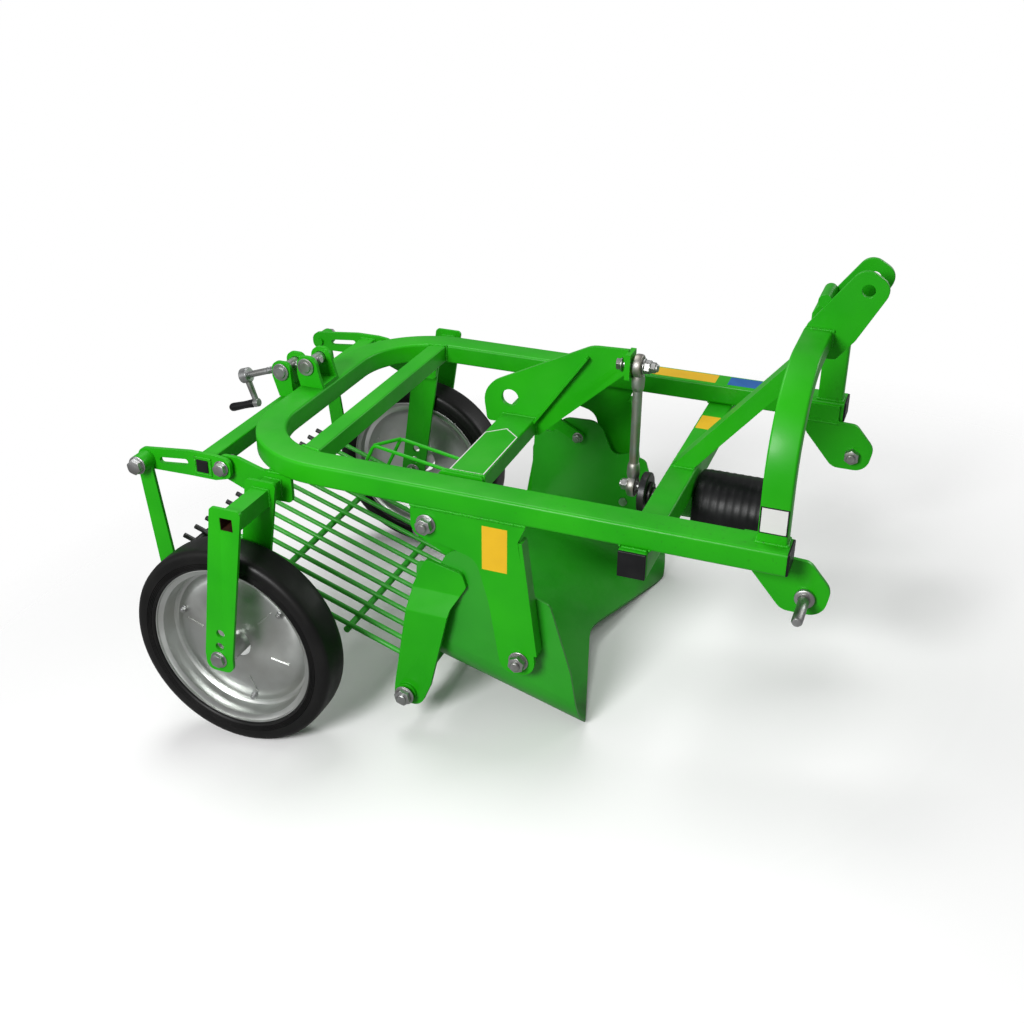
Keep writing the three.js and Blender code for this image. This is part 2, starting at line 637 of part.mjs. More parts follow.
function shareTrough() {
  const inner = SHARE_HALF - SHARE_SHEET;
  const high = 620;
  const section = outline([
    [-SHARE_HALF, 0, SHARE_CORNER], [SHARE_HALF, 0, SHARE_CORNER], [SHARE_HALF, high],
    [inner, high], [inner, SHARE_SHEET, SHARE_CORNER - SHARE_SHEET],
    [-inner, SHARE_SHEET, SHARE_CORNER - SHARE_SHEET], [-inner, high], [-SHARE_HALF, high],
  ]);
  return crossPlate(section, -700, 300).rotateY(Math.atan(SHARE_SLOPE))
    .translate(SHARE_TIP[0], 0, SHARE_TIP[1]);
}

function shareShell() {
  const [tx, tz] = SHARE_TIP;
  const [bx, bz] = EAR_PIN;
  const wide = SHARE_HALF + 10;
  const side = outline([
    [tx + 1, tz - 20], [tx, tz + 10], [-428, -412], [-478, -252, 16], [-522, -236, 20],
    [bx + 92, bz - 46, 30], [bx + 52, bz + 46, 44], [bx - 52, bz + 42, 44], [bx - 74, -214, 20],
    [SHARE_REAR_X + 10, -206, 14], [SHARE_REAR_X, floorZ(SHARE_REAR_X) - 30],
    [SHARE_REAR_X + 20, floorZ(SHARE_REAR_X) - 60],
  ]);
  const trough = common(shareTrough(), sidePlate(side, -wide, wide));
  const notch = flatPlate(outline([
    [tx + 60, -notchHalf - 20], [tx + 60, notchHalf + 20], [tx, notchHalf],
    [tx - SHARE_NOTCH, 0, 120], [tx, -notchHalf],
  ]), tz - 60, tz + 60);
  const bosses = [-1, 1].map((hand) =>
    crossBar(SHARE_PIVOT, hand * (SHARE_HALF - 2), hand * (LEG_OUT - LEG_PLATE - 2), 22, 24));
  const bores = [-1, 1].map((hand) =>
    crossBar(SHARE_PIVOT, hand * (SHARE_HALF - 20), hand * LEG_OUT, PIVOT_RADIUS + PIN_FIT, 20));
  const pins = [-1, 1].map((hand) =>
    crossBar([bx, bz], hand * (SHARE_HALF - 2), hand * (LINK_OUT - LINK_PLATE - 5), SMALL_PIN));
  return cut(join(cut(trough, notch), ...bosses, ...pins), ...bores);
}

function shareStrap(side) {
  const [gx, gz] = SIEVE_FRONT;
  const face = SHARE_HALF + GAP;
  const inside = STRAP_OUT - STRAP_PLATE;
  const bent = crossPlate(outline([
    [side * inside, gz - 40], [side * STRAP_OUT, gz - 40], [side * STRAP_OUT, -318, 10],
    [side * (face + STRAP_PLATE), -268, 10], [side * (face + STRAP_PLATE), -192],
    [side * face, -192], [side * face, -270, 8], [side * inside, -320, 8],
  ]), gx - 60, gx + 160);
  const face2 = outline([
    [-760, -193, 14], [-674, -213, 14], [-664, -244, 10], [-697, -300, 20], [gx + 58, gz + 30],
    [gx + 32, gz - 32, 30], [gx - 34, gz - 32, 30], [gx - 31, gz + 14], [-791, -264, 30],
  ]);
  const strap = common(bent, sidePlate(face2, -STRAP_OUT - 20, STRAP_OUT + 20));
  const boss = crossBar(SIEVE_FRONT, side * (SHARE_HALF + 14), side * (STRAP_OUT + 8), 24, 24);
  const bore = crossBar(SIEVE_FRONT, side * (SHARE_HALF - 10), side * (STRAP_OUT + 20),
    SIEVE_FRONT_ROD + PIN_FIT, 20);
  return cut(join(strap, boss), bore);
}

// ---------------------------------------------------------------- sieve
const sieveRun = new THREE.Vector2(...SIEVE_FRONT).sub(new THREE.Vector2(...SIEVE_REAR));
const sieveTurn = sieveRun.angle();
const sieveLength = sieveRun.length();
const onSieve = (distance, above) => [
  SIEVE_REAR[0] + Math.cos(sieveTurn) * distance - Math.sin(sieveTurn) * above,
  SIEVE_REAR[1] + Math.sin(sieveTurn) * distance + Math.cos(sieveTurn) * above,
];

const hangerIn = LIFT_ARM_OUT + GAP + 6;

function sieve() {
  const weld = SIEVE_BAR_RADIUS - 2;
  const above = (distance) => THREE.MathUtils.lerp(SIEVE_REAR_ROD, SIEVE_FRONT_ROD, distance / sieveLength)
    + weld;
  const [tailX, tailZ] = onSieve(-SIEVE_TAIL, above(-SIEVE_TAIL));
  const [noseX, noseZ] = onSieve(sieveLength + 12, above(sieveLength + 12));
  const bars = Array.from({ length: SIEVE_BAR_COUNT }, (_, index) => {
    const y = (index - (SIEVE_BAR_COUNT - 1) / 2) * SIEVE_PITCH;
    return bar([tailX, y, tailZ], [noseX, y, noseZ], SIEVE_BAR_RADIUS, 8);
  });
  const frontRod = crossBar(SIEVE_FRONT, -STRAP_OUT - 16, STRAP_OUT + 16, SIEVE_FRONT_ROD, 20);
  const rearRod = crossBar(SIEVE_REAR, -hangerIn + GAP, hangerIn - GAP, SIEVE_REAR_ROD, 16);
  const half = (SIEVE_BAR_COUNT - 1) / 2 * SIEVE_PITCH + 10;
  const ties = [0.33, 0.68].map((share) => {
    const distance = sieveLength * share;
    return crossBar(onSieve(distance, above(distance) - weld - SIEVE_TIE + 1), -half, half, SIEVE_TIE, 12);
  });
  return join(...bars, frontRod, rearRod, ...ties);
}

// ---------------------------------------------------------------- slope adjuster
function liftTube() {
  const [x, z] = LIFT_TUBE_AT;
  const half = LIFT_TUBE / 2;
  const end = LIFT_ARM_OUT + 2;
  return block([x - half, -end, z - half], [x + half, end, z + half]);
}

function liftArm(side) {
  const [px, pz] = LIFT_PIVOT;
  const [tx, tz] = LIFT_TUBE_AT;
  const [hx, hz] = HANGER_TOP;
  const shape = outline([
    [hx - 24, hz + 24, 22], [hx - 24, hz - 24, 22], [tx - 34, tz - 30], [tx + 30, tz - 30, 8],
    [px + 22, pz - 22, 16], [px + 22, pz + 22, 16], [tx + 30, tz + 30, 8], [tx - 34, tz + 30],
  ]);
  pierce(shape, [[px, pz, PIVOT_RADIUS + PIN_FIT], [hx, hz, PIVOT_RADIUS - 1]]);
  const half = LIFT_TUBE / 2 + GAP;
  const slot = outline([
    [hx + 34, hz + 10, 7], [hx + 34, hz - 5, 7], [tx - 40, tz - 6, 7], [tx - 40, tz + 9, 7],
  ]);
  const inside = LIFT_ARM_OUT - LIFT_ARM;
  return cut(sidePlate(shape, side * inside, side * LIFT_ARM_OUT),
    block([tx - half, side * (inside - 1), tz - half], [tx + half, side * (LIFT_ARM_OUT + 1), tz + half]),
    sidePlate(slot, side * (inside - 1), side * (LIFT_ARM_OUT + 1)));
}

function liftPivotPin(side) {
  const end = LIFT_ARM_OUT + 12;
  const start = BRACKET_OUT - BRACKET_PLATE - 8;
  return join(crossBar(LIFT_PIVOT, side * start, side * end, PIVOT_RADIUS),
    crossBar(LIFT_PIVOT, side * (LIFT_ARM_OUT + GAP), side * end, 17, 6));
}

function hanger(side) {
  const [kx, kz] = HANGER_TOP;
  const [hx, hz] = SIEVE_REAR;
  const start = LIFT_ARM_OUT + GAP;
  const boss = crossBar(HANGER_TOP, side * start, side * (start + BOSS_WIDTH), BOSS_RADIUS, 24);
  const pin = crossBar(HANGER_TOP, side * (LIFT_ARM_OUT - LIFT_ARM - 8), side * (start + BOSS_WIDTH + 8),
    PIVOT_RADIUS - 1 - PIN_FIT);
  const head = crossBar(HANGER_TOP, side * (start + BOSS_WIDTH - 1), side * (start + BOSS_WIDTH + 9), 16, 6);
  const plate = sidePlate(outline([
    [kx - 19, kz], [hx - 22, hz - 22, 20], [hx + 22, hz - 22, 20], [kx + 19, kz],
  ]), side * hangerIn, side * (hangerIn + HANGER_PLATE));
  return join(boss, pin, head, plate);
}

function trunnion(at, clearance) {
  const end = LUG_IN + LUG_PLATE + 8;
  const [x0, z0] = alongSpindle(-SPINDLE_REACH * 2);
  const [x1, z1] = alongSpindle(SPINDLE_REACH * 2);
  return cut(crossBar(at, -end, end, TRUNNION_RADIUS, 24),
    bar([x0, 0, z0], [x1, 0, z1], SPINDLE_RADIUS + clearance, 20));
}

function frameLugs() {
  const [x, z] = FRAME_TRUNNION;
  const base = GAP;
  const back = FRAME_BACK + 4;
  const lug = (side) => sidePlate(pierce(outline([
    [back, base], [FRAME_BACK + RAIL_WIDTH - 4, base], [x + 32, z - 12, 10], [x + 25, z + 26, 24],
    [x - 25, z + 26, 24], [x - 26, z - 22, 10],
  ]), [[x, z, TRUNNION_RADIUS + PIN_FIT]]), side * LUG_IN, side * (LUG_IN + LUG_PLATE));
  const foot = block([back, -LUG_IN - 2, base], [FRAME_BACK + RAIL_WIDTH - 4, LUG_IN + 2, base + 8]);
  return join(lug(-1), lug(1), foot);
}

function liftLugs() {
  const [x, z] = LIFT_TRUNNION;
  const [tx, tz] = LIFT_TUBE_AT;
  const base = tz + LIFT_TUBE / 2 + GAP;
  const lug = (side) => sidePlate(pierce(outline([
    [tx - 20, base], [tx + 20, base], [x + 26, z - 8, 10], [x + 25, z + 26, 24],
    [x - 25, z + 26, 24], [x - 26, z - 14, 10],
  ]), [[x, z, TRUNNION_RADIUS + PIN_FIT]]), side * LUG_IN, side * (LUG_IN + LUG_PLATE));
  const foot = block([tx - 20, -LUG_IN - 2, base], [tx + 20, LUG_IN + 2, base + 8]);
  return join(lug(-1), lug(1), foot);
}

function spindle() {
  const reach = Math.hypot(FRAME_TRUNNION[0] - LIFT_TRUNNION[0], FRAME_TRUNNION[1] - LIFT_TRUNNION[1]);
  const at = (distance, across = 0) => {
    const [x, z] = alongSpindle(distance, across);
    return [x, 0, z];
  };
  const rod = bar(at(-SPINDLE_REACH - 8), at(reach + 22), SPINDLE_RADIUS, 16);
  const hub = bar(at(-SPINDLE_REACH - 12), at(-SPINDLE_REACH + 12), 19, 20);
  const arm = bar(at(-SPINDLE_REACH), at(-SPINDLE_REACH, -HANDLE_ARM), 9, 12);
  const peg = bar(at(-SPINDLE_REACH + 6, -HANDLE_ARM), at(-SPINDLE_REACH - 24, -HANDLE_ARM), 5, 10);
  return join(rod, hub, arm, peg);
}

function crankGrip() {
  const at = (distance) => {
    const [x, z] = alongSpindle(distance, -HANDLE_ARM);
    return [x, 0, z];
  };
  const start = -SPINDLE_REACH - 10;
  return cut(bar(at(start), at(start - GRIP_LENGTH), GRIP_RADIUS, 16),
    bar(at(start + 1), at(start - 16), 5 + GAP, 10));
}

// ---------------------------------------------------------------- assembly
place(machine, 'main_frame', mainFrame(), paint);
place(machine, 'rear_cross_tube', rearCrossTube(), paint);
place(machine, 'front_cross_tube', frontCrossTube(), paint);
placePair(machine, 'mast_leg', mastLeg, paint);
placePair(machine, 'top_link_plate', topLinkPlate, paint);
place(machine, 'mast_spacer', mastSpacer(), paint);
place(machine, 'mast_brace', mastBrace(), paint);
placePair(machine, 'hitch_plate', hitchPlate, paint);
placePair(machine, 'hitch_pin', hitchPin, zinc);
placePair(machine, 'front_leg', frontLegPlate, paint);
placePair(machine, 'share_pivot_pin', pivotPin(SHARE_PIVOT, SHARE_HALF - 12), zinc);
placePair(machine, 'rocker_pivot_pin', pivotPin(ROCKER_PIVOT, cheekIn - 4), zinc);
placePair(machine, 'fork_bracket', forkBracket, paint);
placePair(machine, 'wheel_fork', wheelFork, paint);
placePair(machine, 'wheel_axle', axle, zinc);
placePair(machine, 'lift_pivot_pin', liftPivotPin, zinc);
place(machine, 'spindle_lugs', frameLugs(), paint);
place(machine, 'bearing_housing', bearingHousing(), paint);
place(machine, 'shaft_guard', shaftGuard(), plastic);

for (const [hand, side] of [['right', -1], ['left', 1]]) {
  const wheel = hinged(`wheel_${hand}`, machine, AXLE);
  place(wheel, `tyre_${hand}`, tyre(side), rubber);
  place(wheel, `rim_${hand}`, rim(side), galvanised);
}

const driveShaft = hinged('drive_shaft', machine, [CRANK_FACE_X, SHAFT_Z]);
place(driveShaft, 'input_shaft', inputShaft(), castSteel);

const rocker = hinged('rocker', machine, ROCKER_PIVOT);
place(rocker, 'rocker_tube', rockerTube(), paint);
place(rocker, 'rocker_arm', rockerArm(), paint);
placePair(rocker, 'rocker_cheek', rockerCheek, paint);

const rod = hinged('rod', rocker, ROD_EYE);
place(rod, 'connecting_rod', connectingRod(), zinc);

const links = hinged('links', rocker, LINK_PIN);
placePair(links, 'link_bar', linkBar, paint);

const share = hinged('share', machine, SHARE_PIVOT);
place(share, 'share_shell', shareShell(), paint);
placePair(share, 'share_strap', shareStrap, paint);

const sieveBody = hinged('sieve', share, SIEVE_FRONT);
place(sieveBody, 'sieve_grid', sieve(), paint);

const lift = hinged('lift', machine, LIFT_PIVOT);
place(lift, 'lift_tube', liftTube(), paint);
placePair(lift, 'lift_arm', liftArm, paint);
place(lift, 'lift_lugs', liftLugs(), paint);
place(lift, 'lift_trunnion', trunnion(LIFT_TRUNNION, SPINDLE_SWING), zinc);

const spindleBody = hinged('spindle', machine, FRAME_TRUNNION);
place(spindleBody, 'frame_trunnion', trunnion(FRAME_TRUNNION, GAP), zinc);
place(spindleBody, 'spindle_crank', spindle(), zinc);
place(spindleBody, 'crank_grip', crankGrip(), plastic);

const hangers = hinged('hangers', lift, HANGER_TOP);
placePair(hangers, 'hanger', hanger, paint);

// The ground line touches both tyres and the share's two front corners, where its flat floor ends.
const touchX = SHARE_TIP[0] - SHARE_NOTCH * SHARE_CORNER / 2 / notchHalf;
const toTip = new THREE.Vector2(touchX - AXLE[0], floorZ(touchX) - AXLE[1]);
const pitch = Math.asin(WHEEL_RADIUS / toTip.length()) + toTip.angle() - 2 * Math.PI;
machine.rotation.y = pitch;

const group = new THREE.Group();
group.add(machine);
group.updateMatrixWorld(true);
const box = new THREE.Box3().setFromObject(group, true);
machine.position.set(-(box.min.x + box.max.x) / 2, 0, -box.min.z);
group.updateMatrixWorld(true);

export default group;
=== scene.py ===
"""Single-row vibrating potato digger: the visible model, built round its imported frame.

Everything is drawn on the level machine, in millimetres: x forward from the front ends of the
rails, y to the left, z up from the tops of the rails. One matrix sets it down as it is parked.
"""

from __future__ import annotations

import json
import logging
import math
from dataclasses import dataclass, field
from enum import Enum
from typing import Any, Iterable, Sequence

import bmesh
import bpy
from mathutils import Matrix, Quaternion, Vector


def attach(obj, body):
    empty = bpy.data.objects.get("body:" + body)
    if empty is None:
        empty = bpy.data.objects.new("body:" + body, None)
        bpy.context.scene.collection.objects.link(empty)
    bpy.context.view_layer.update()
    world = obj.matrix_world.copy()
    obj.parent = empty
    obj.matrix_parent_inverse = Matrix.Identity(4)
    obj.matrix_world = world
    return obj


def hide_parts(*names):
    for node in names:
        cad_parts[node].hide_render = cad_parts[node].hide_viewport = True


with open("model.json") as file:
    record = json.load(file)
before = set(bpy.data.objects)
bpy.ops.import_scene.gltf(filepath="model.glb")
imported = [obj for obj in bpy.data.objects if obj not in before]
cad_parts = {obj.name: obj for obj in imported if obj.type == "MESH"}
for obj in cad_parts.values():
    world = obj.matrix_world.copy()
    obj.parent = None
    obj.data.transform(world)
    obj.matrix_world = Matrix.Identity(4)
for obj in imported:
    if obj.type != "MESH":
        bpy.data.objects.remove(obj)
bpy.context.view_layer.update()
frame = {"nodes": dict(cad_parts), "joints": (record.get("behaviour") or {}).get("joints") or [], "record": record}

LOG = logging.getLogger("potato_digger")
MM = 0.001
SIDES = (-1, 1)
Point = tuple[float, float, float]
Flat = tuple[float, float]
Trims = Iterable[tuple[Point, Point]]
Socket = bpy.types.NodeSocket
HANDS = ((-1, "right"), (1, "left"))


class Slot(Enum):
    """The record's material slots."""

    PAINT = "paint"
    ZINC = "zinc"
    GALVANISED = "galvanised"
    DARK_STEEL = "dark_steel"
    RUBBER = "rubber"
    PLASTIC = "plastic"


class Body(Enum):
    """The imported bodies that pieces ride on."""

    FRAME = "frame"
    WHEEL_RIGHT = "wheel_right"
    WHEEL_LEFT = "wheel_left"
    SHAFT = "drive_shaft"
    ROCKER = "rocker"
    ROD = "rod"
    LINKS = "links"
    SHARE = "share"
    SIEVE = "sieve"
    LIFT = "lift"
    SPINDLE = "spindle"
    HANGERS = "hangers"


class Head(Enum):
    """What closes the outer end of a fastener."""

    BOLT = "bolt"
    NUT = "nut"


# ------------------------ the level machine


@dataclass(frozen=True)
class Datum:
    """Where the level drawing meets the parked machine."""

    rocker_pivot: Point = (-742.0, 0.0, -89.0)

    def matrix(self) -> Matrix:
        """Turns level millimetres into the row's metres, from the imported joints.

        Returns:
            The 4x4 matrix that every drawn mesh goes through.
        """
        joints = {joint["name"]: joint for joint in frame["joints"]}
        shaft = Vector(joints["drive_shaft_spin"]["axis"])
        pivot = Vector(joints["rocker_swing"]["pos_m"])
        turn = Matrix.Rotation(math.atan2(-shaft.z, shaft.x), 4, "Y")
        return (Matrix.Translation(pivot) @ turn @ Matrix.Scale(MM, 4)
                @ Matrix.Translation(-Vector(self.rocker_pivot)))


LEVEL = Datum().matrix()
NODE_BODY = {node: body for body, nodes in frame["record"]["behaviour"]["bodies"].items()
             for node in nodes}


def off(spot: Flat, y: float) -> Point:
    """The point that lies y to the left of a spot on the machine's side view."""
    return (spot[0], y, spot[1])


# ------------------------ node trees


class Graph:
    """A hand for wiring one node tree."""

    def __init__(self, tree: bpy.types.NodeTree) -> None:
        """Keeps the tree that the nodes go into."""
        self.tree = tree

    def add(self, kind: str, ins: dict[Any, Any] | None = None, **settings: Any) -> bpy.types.Node:
        """Adds a node.

        Args:
            kind: The node's type name.
            ins: Input name or number to a value or to another node's output.
            settings: Properties set on the node before its inputs.

        Returns:
            The new node.
        """
        node = self.tree.nodes.new(kind)
        for key, value in settings.items():
            setattr(node, key, value)
        for key, value in (ins or {}).items():
            socket = node.inputs[key]
            if isinstance(value, Socket):
                self.tree.links.new(value, socket)
            else:
                socket.default_value = value
        return node

    def out(self, kind: str, ins: dict[Any, Any] | None = None, **settings: Any) -> Socket:
        """Adds a node as add does, and gives its first output."""
        return self.add(kind, ins, **settings).outputs[0]

    def math(self, operation: str, first: Any, second: Any = 0.0) -> Socket:
        """A maths step on one or two values, as its output socket."""
        return self.out("ShaderNodeMath", {0: first, 1: second}, operation=operation)


class Shader(Graph):
    """A material's tree, with the patterns that several finishes share."""

    def __init__(self, name: str) -> None:
        """Starts an empty material.

        Args:
            name: The material's name.
        """
        self.material = bpy.data.materials.new(name)
        self.material.use_nodes = True
        super().__init__(self.material.node_tree)
        self.tree.nodes.clear()
        self.place = self.add("ShaderNodeTexCoord").outputs["Object"]

    def noise(self, scale: float, detail: float = 3.0, stretch: Point = (1, 1, 1)) -> Socket:
        """Smooth noise with that many lumps a metre, as a value from 0 to 1."""
        at = self.out("ShaderNodeMapping", {"Vector": self.place, "Scale": stretch})
        return self.add("ShaderNodeTexNoise", {"Vector": at, "Scale": scale, "Detail": detail}).outputs["Fac"]

    def ramp(self, value: Any, low: float, high: float, start: float = 0.0,
             end: float = 1.0) -> Socket:
        """Maps a value from low..high to start..end, held at both ends."""
        return self.out("ShaderNodeMapRange", {
            "Value": value, "From Min": low, "From Max": high, "To Min": start, "To Max": end})

    def mix(self, share: Any, first: Any, second: Any) -> Socket:
        """Blends two colours by a share from 0 to 1."""
        return self.add("ShaderNodeMix", {0: share, 6: first, 7: second}, data_type="RGBA").outputs[2]

    def uneven(self, scale: float, detail: float, low: float, high: float) -> Socket:
        """A value, such as a roughness, that wanders smoothly between two."""
        return self.ramp(self.noise(scale, detail), 0.3, 0.7, low, high)

    def edges(self) -> Socket:
        """Where the surface stands out as an edge, from 0 to 1."""
        return self.ramp(self.add("ShaderNodeNewGeometry").outputs["Pointiness"], 0.53, 0.6)

    def facing_up(self) -> Socket:
        """How far the surface faces up, from 0 to 1.

        Returns:
            The share, as an output socket.
        """
        normal = self.add("ShaderNodeNewGeometry").outputs["Normal"]
        up = self.add("ShaderNodeSeparateXYZ", {0: normal}).outputs["Z"]
        return self.ramp(up, 0.3, 1.0)

    def bump(self, height: Any, depth: float) -> Socket:
        """A bump normal from a height, with its depth in metres."""
        return self.out("ShaderNodeBump", {"Height": height, "Distance": depth, "Strength": 1.0})

    def surface(self, **values: Any) -> bpy.types.Material:
        """Closes the tree with a Principled shader.

        Args:
            values: The Principled inputs, with underscores for the spaces in their names.

        Returns:
            The finished material.
        """
        skin = self.out("ShaderNodeBsdfPrincipled", {
            key.replace("_", " "): value for key, value in values.items()})
        self.add("ShaderNodeOutputMaterial", {"Surface": skin})
        return self.material


# ------------------------ finishes

Colour = tuple[float, float, float, float]


@dataclass(frozen=True)
class GlossPaint:
    """Sprayed gloss enamel: orange peel, faint dust on top and dark chipping on the edges; the shaded copy has
    more chipping, as painted shade.
    """

    name: str = "green_enamel"
    slot: Slot = Slot.PAINT
    colour: Colour = (0.020, 0.44, 0.004, 1)
    shade: Colour = (0.012, 0.37, 0.003, 1)
    wear_and_shade: float = 0.35

    def material(self) -> bpy.types.Material:
        """Builds the enamel.

        Returns:
            The material.
        """
        tree = Shader(self.name)
        base = tree.mix(tree.ramp(tree.noise(5.0), 0.35, 0.65), self.shade, self.colour)
        patches = tree.ramp(tree.noise(14.0, 6.0), 0.45, 0.75, 0, 0.06)
        dust = tree.math("MULTIPLY", tree.facing_up(), patches)
        base = tree.mix(dust, base, (0.22, 0.5, 0.16, 1))
        # Dark chipping on the edges: worn paint, and in the shaded copy, where there is more of it, painted shade
        # too.
        flakes = tree.ramp(tree.noise(90.0, 4.0), 0.62, 0.68, 0, self.wear_and_shade)
        edge_chips_and_shade = tree.math("MULTIPLY", tree.edges(), flakes)
        base = tree.mix(edge_chips_and_shade, base, (0.018, 0.02, 0.012, 1))
        rough = tree.uneven(22.0, 5.0, 0.34, 0.46)
        peel = tree.bump(tree.noise(420.0, 1.0), 0.00012)
        return tree.surface(Base_Color=base, Roughness=rough, Specular_IOR_Level=0.25, Normal=peel,
                            Coat_Weight=0.08, Coat_Roughness=0.18)


@dataclass(frozen=True)
class ScouredPaint:
    """Enamel on the digging share, scratched along the flow and worn dark at its lower edge."""

    name: str = "scoured_enamel"
    slot: Slot = Slot.PAINT
    colour: Colour = (0.02, 0.38, 0.011, 1)
    edge_height: float = 0.03

    def material(self) -> bpy.types.Material:
        """Builds the share's finish.

        Returns:
            The material.
        """
        tree = Shader(self.name)
        height = tree.add("ShaderNodeSeparateXYZ", {0: tree.place}).outputs["Z"]
        rough_edge = tree.math("ADD", height, tree.math("MULTIPLY", tree.noise(9.0, 5.0), -0.045))
        low = tree.ramp(rough_edge, self.edge_height - 0.03, self.edge_height - 0.065)
        scratches = tree.ramp(tree.noise(16.0, 6.0, (1, 14, 1)), 0.62, 0.74, 0, 0.18)
        base = tree.mix(tree.ramp(tree.noise(4.0), 0.35, 0.65), (0.011, 0.3, 0.007, 1), self.colour)
        base = tree.mix(scratches, base, (0.05, 0.42, 0.03, 1))
        base = tree.mix(low, base, (0.035, 0.034, 0.03, 1))
        rough = tree.uneven(20.0, 5.0, 0.28, 0.42)
        dents = tree.math("ADD", tree.math("MULTIPLY", tree.noise(7.0, 2.0), 4.0), tree.noise(380.0, 1.0))
        return tree.surface(Base_Color=base, Roughness=rough, Normal=tree.bump(dents, 0.00016),
                            Coat_Weight=0.25, Coat_Roughness=0.2)


@dataclass(frozen=True)
class RodPaint:
    """Thin enamel on the sieve rods, with their free ends dipped dark."""

    name: str = "sieve_enamel"
    slot: Slot = Slot.PAINT
    colour: Colour = (0.03, 0.42, 0.02, 1)
    tip_from: float = -0.735

    def material(self) -> bpy.types.Material:
        """Builds the rods' finish.

        Returns:
            The material.
        """
        tree = Shader(self.name)
        along = tree.add("ShaderNodeSeparateXYZ", {0: tree.place}).outputs["X"]
        tip = tree.ramp(along, self.tip_from, self.tip_from - 0.008)
        rubbed = tree.ramp(tree.noise(30.0, 5.0, (0.4, 3, 1)), 0.58, 0.72, 0, 0.35)
        base = tree.mix(rubbed, self.colour, (0.012, 0.16, 0.008, 1))
        base = tree.mix(tip, base, (0.012, 0.014, 0.012, 1))
        rough = tree.uneven(40.0, 4.0, 0.3, 0.5)
        return tree.surface(Base_Color=base, Roughness=rough, Normal=tree.bump(tree.noise(300.0), 0.0002))


@dataclass(frozen=True)
class Plating:
    """Zinc on steel, bright or gone grey."""

    name: str = "bright_zinc"
    slot: Slot = Slot.ZINC
    colour: Colour = (0.46, 0.47, 0.47, 1)
    stain: Colour = (0.27, 0.26, 0.23, 1)
    roughness: float = 0.34

    def material(self) -> bpy.types.Material:
        """Builds the plated metal.

        Returns:
            The material.
        """
        tree = Shader(self.name)
        cloud = tree.ramp(tree.noise(26.0, 5.0), 0.4, 0.72)
        base = tree.mix(tree.math("MULTIPLY", cloud, 0.7), self.colour, self.stain)
        rough = tree.uneven(60.0, 4.0, self.roughness, self.roughness + 0.16)
        return tree.surface(Base_Color=base, Metallic=1.0, Roughness=rough,
                            Normal=tree.bump(tree.noise(260.0), 0.00008))


@dataclass(frozen=True)
class SpunSheet:
    """Bright sheet steel, finely grooved round the wheel's axle by the spinning lathe."""

    name: str = "spun_sheet"
    slot: Slot = Slot.GALVANISED
    colour: Colour = (0.60, 0.62, 0.60, 1)
    stain: Colour = (0.42, 0.42, 0.39, 1)
    axle: Flat = (-1180.0, -438.0)

    def material(self) -> bpy.types.Material:
        """Builds the spun metal; its grain runs round the axle of either wheel.

        Returns:
            The material.
        """
        tree = Shader(self.name)
        centre = LEVEL @ Vector(off(self.axle, 0))
        arm = tree.out("ShaderNodeVectorMath", {0: tree.place, 1: tuple(centre)}, operation="SUBTRACT")
        flat = tree.out("ShaderNodeVectorMath", {0: arm, 1: (1, 0, 1)}, operation="MULTIPLY")
        reach = tree.add("ShaderNodeVectorMath", {0: flat}, operation="LENGTH").outputs["Value"]
        grain = tree.out("ShaderNodeVectorMath", {0: flat, 1: (0, 1, 0)}, operation="CROSS_PRODUCT")
        along = tree.add("ShaderNodeTexNoise", {"W": reach, "Scale": 900.0, "Detail": 2.0},
                         noise_dimensions="1D").outputs["Fac"]
        cloud = tree.ramp(tree.noise(9.0, 4.0), 0.45, 0.75, 0, 0.6)
        base = tree.mix(cloud, self.colour, self.stain)
        rough = tree.uneven(25.0, 4.0, 0.3, 0.4)
        return tree.surface(Base_Color=base, Metallic=1.0, Roughness=rough, Anisotropic=0.65, Tangent=grain,
                            Normal=tree.bump(along, 0.00003))


@dataclass(frozen=True)
class Rubber:
    """Black solid rubber, rubbed grey where it meets the ground."""

    name: str = "solid_rubber"
    slot: Slot = Slot.RUBBER

    def material(self) -> bpy.types.Material:
        """Builds the rubber.

        Returns:
            The material.
        """
        tree = Shader(self.name)
        dust = tree.ramp(tree.noise(12.0, 6.0), 0.5, 0.8, 0, 0.3)
        base = tree.mix(dust, (0.004, 0.004, 0.004, 1), (0.02, 0.019, 0.018, 1))
        rough = tree.uneven(30.0, 5.0, 0.36, 0.5)
        return tree.surface(Base_Color=base, Roughness=rough, Specular_IOR_Level=0.28,
                            Normal=tree.bump(tree.noise(500.0, 2.0), 0.0001))


@dataclass(frozen=True)
class Moulded:
    """Moulded plastic, thin stickers and oiled castings: one colour with a fine grain."""

    name: str = "black_plastic"
    slot: Slot = Slot.PLASTIC
    colour: Colour = (0.005, 0.005, 0.006, 1)
    tint: Colour = (0.014, 0.014, 0.015, 1)
    roughness: float = 0.34
    metallic: float = 0.0
    grain: float = 0.00006
    shine: float = 0.3

    def material(self) -> bpy.types.Material:
        """Builds the plastic.

        Returns:
            The material.
        """
        tree = Shader(self.name)
        base = tree.mix(tree.ramp(tree.noise(18.0, 5.0), 0.45, 0.8), self.colour, self.tint)
        rough = tree.uneven(45.0, 4.0, self.roughness, self.roughness + 0.14)
        return tree.surface(Base_Color=base, Metallic=self.metallic, Roughness=rough,
                            Specular_IOR_Level=self.shine,
                            Normal=tree.bump(tree.noise(600.0, 1.0), self.grain))


Finish = GlossPaint | ScouredPaint | RodPaint | Plating | SpunSheet | Rubber | Moulded

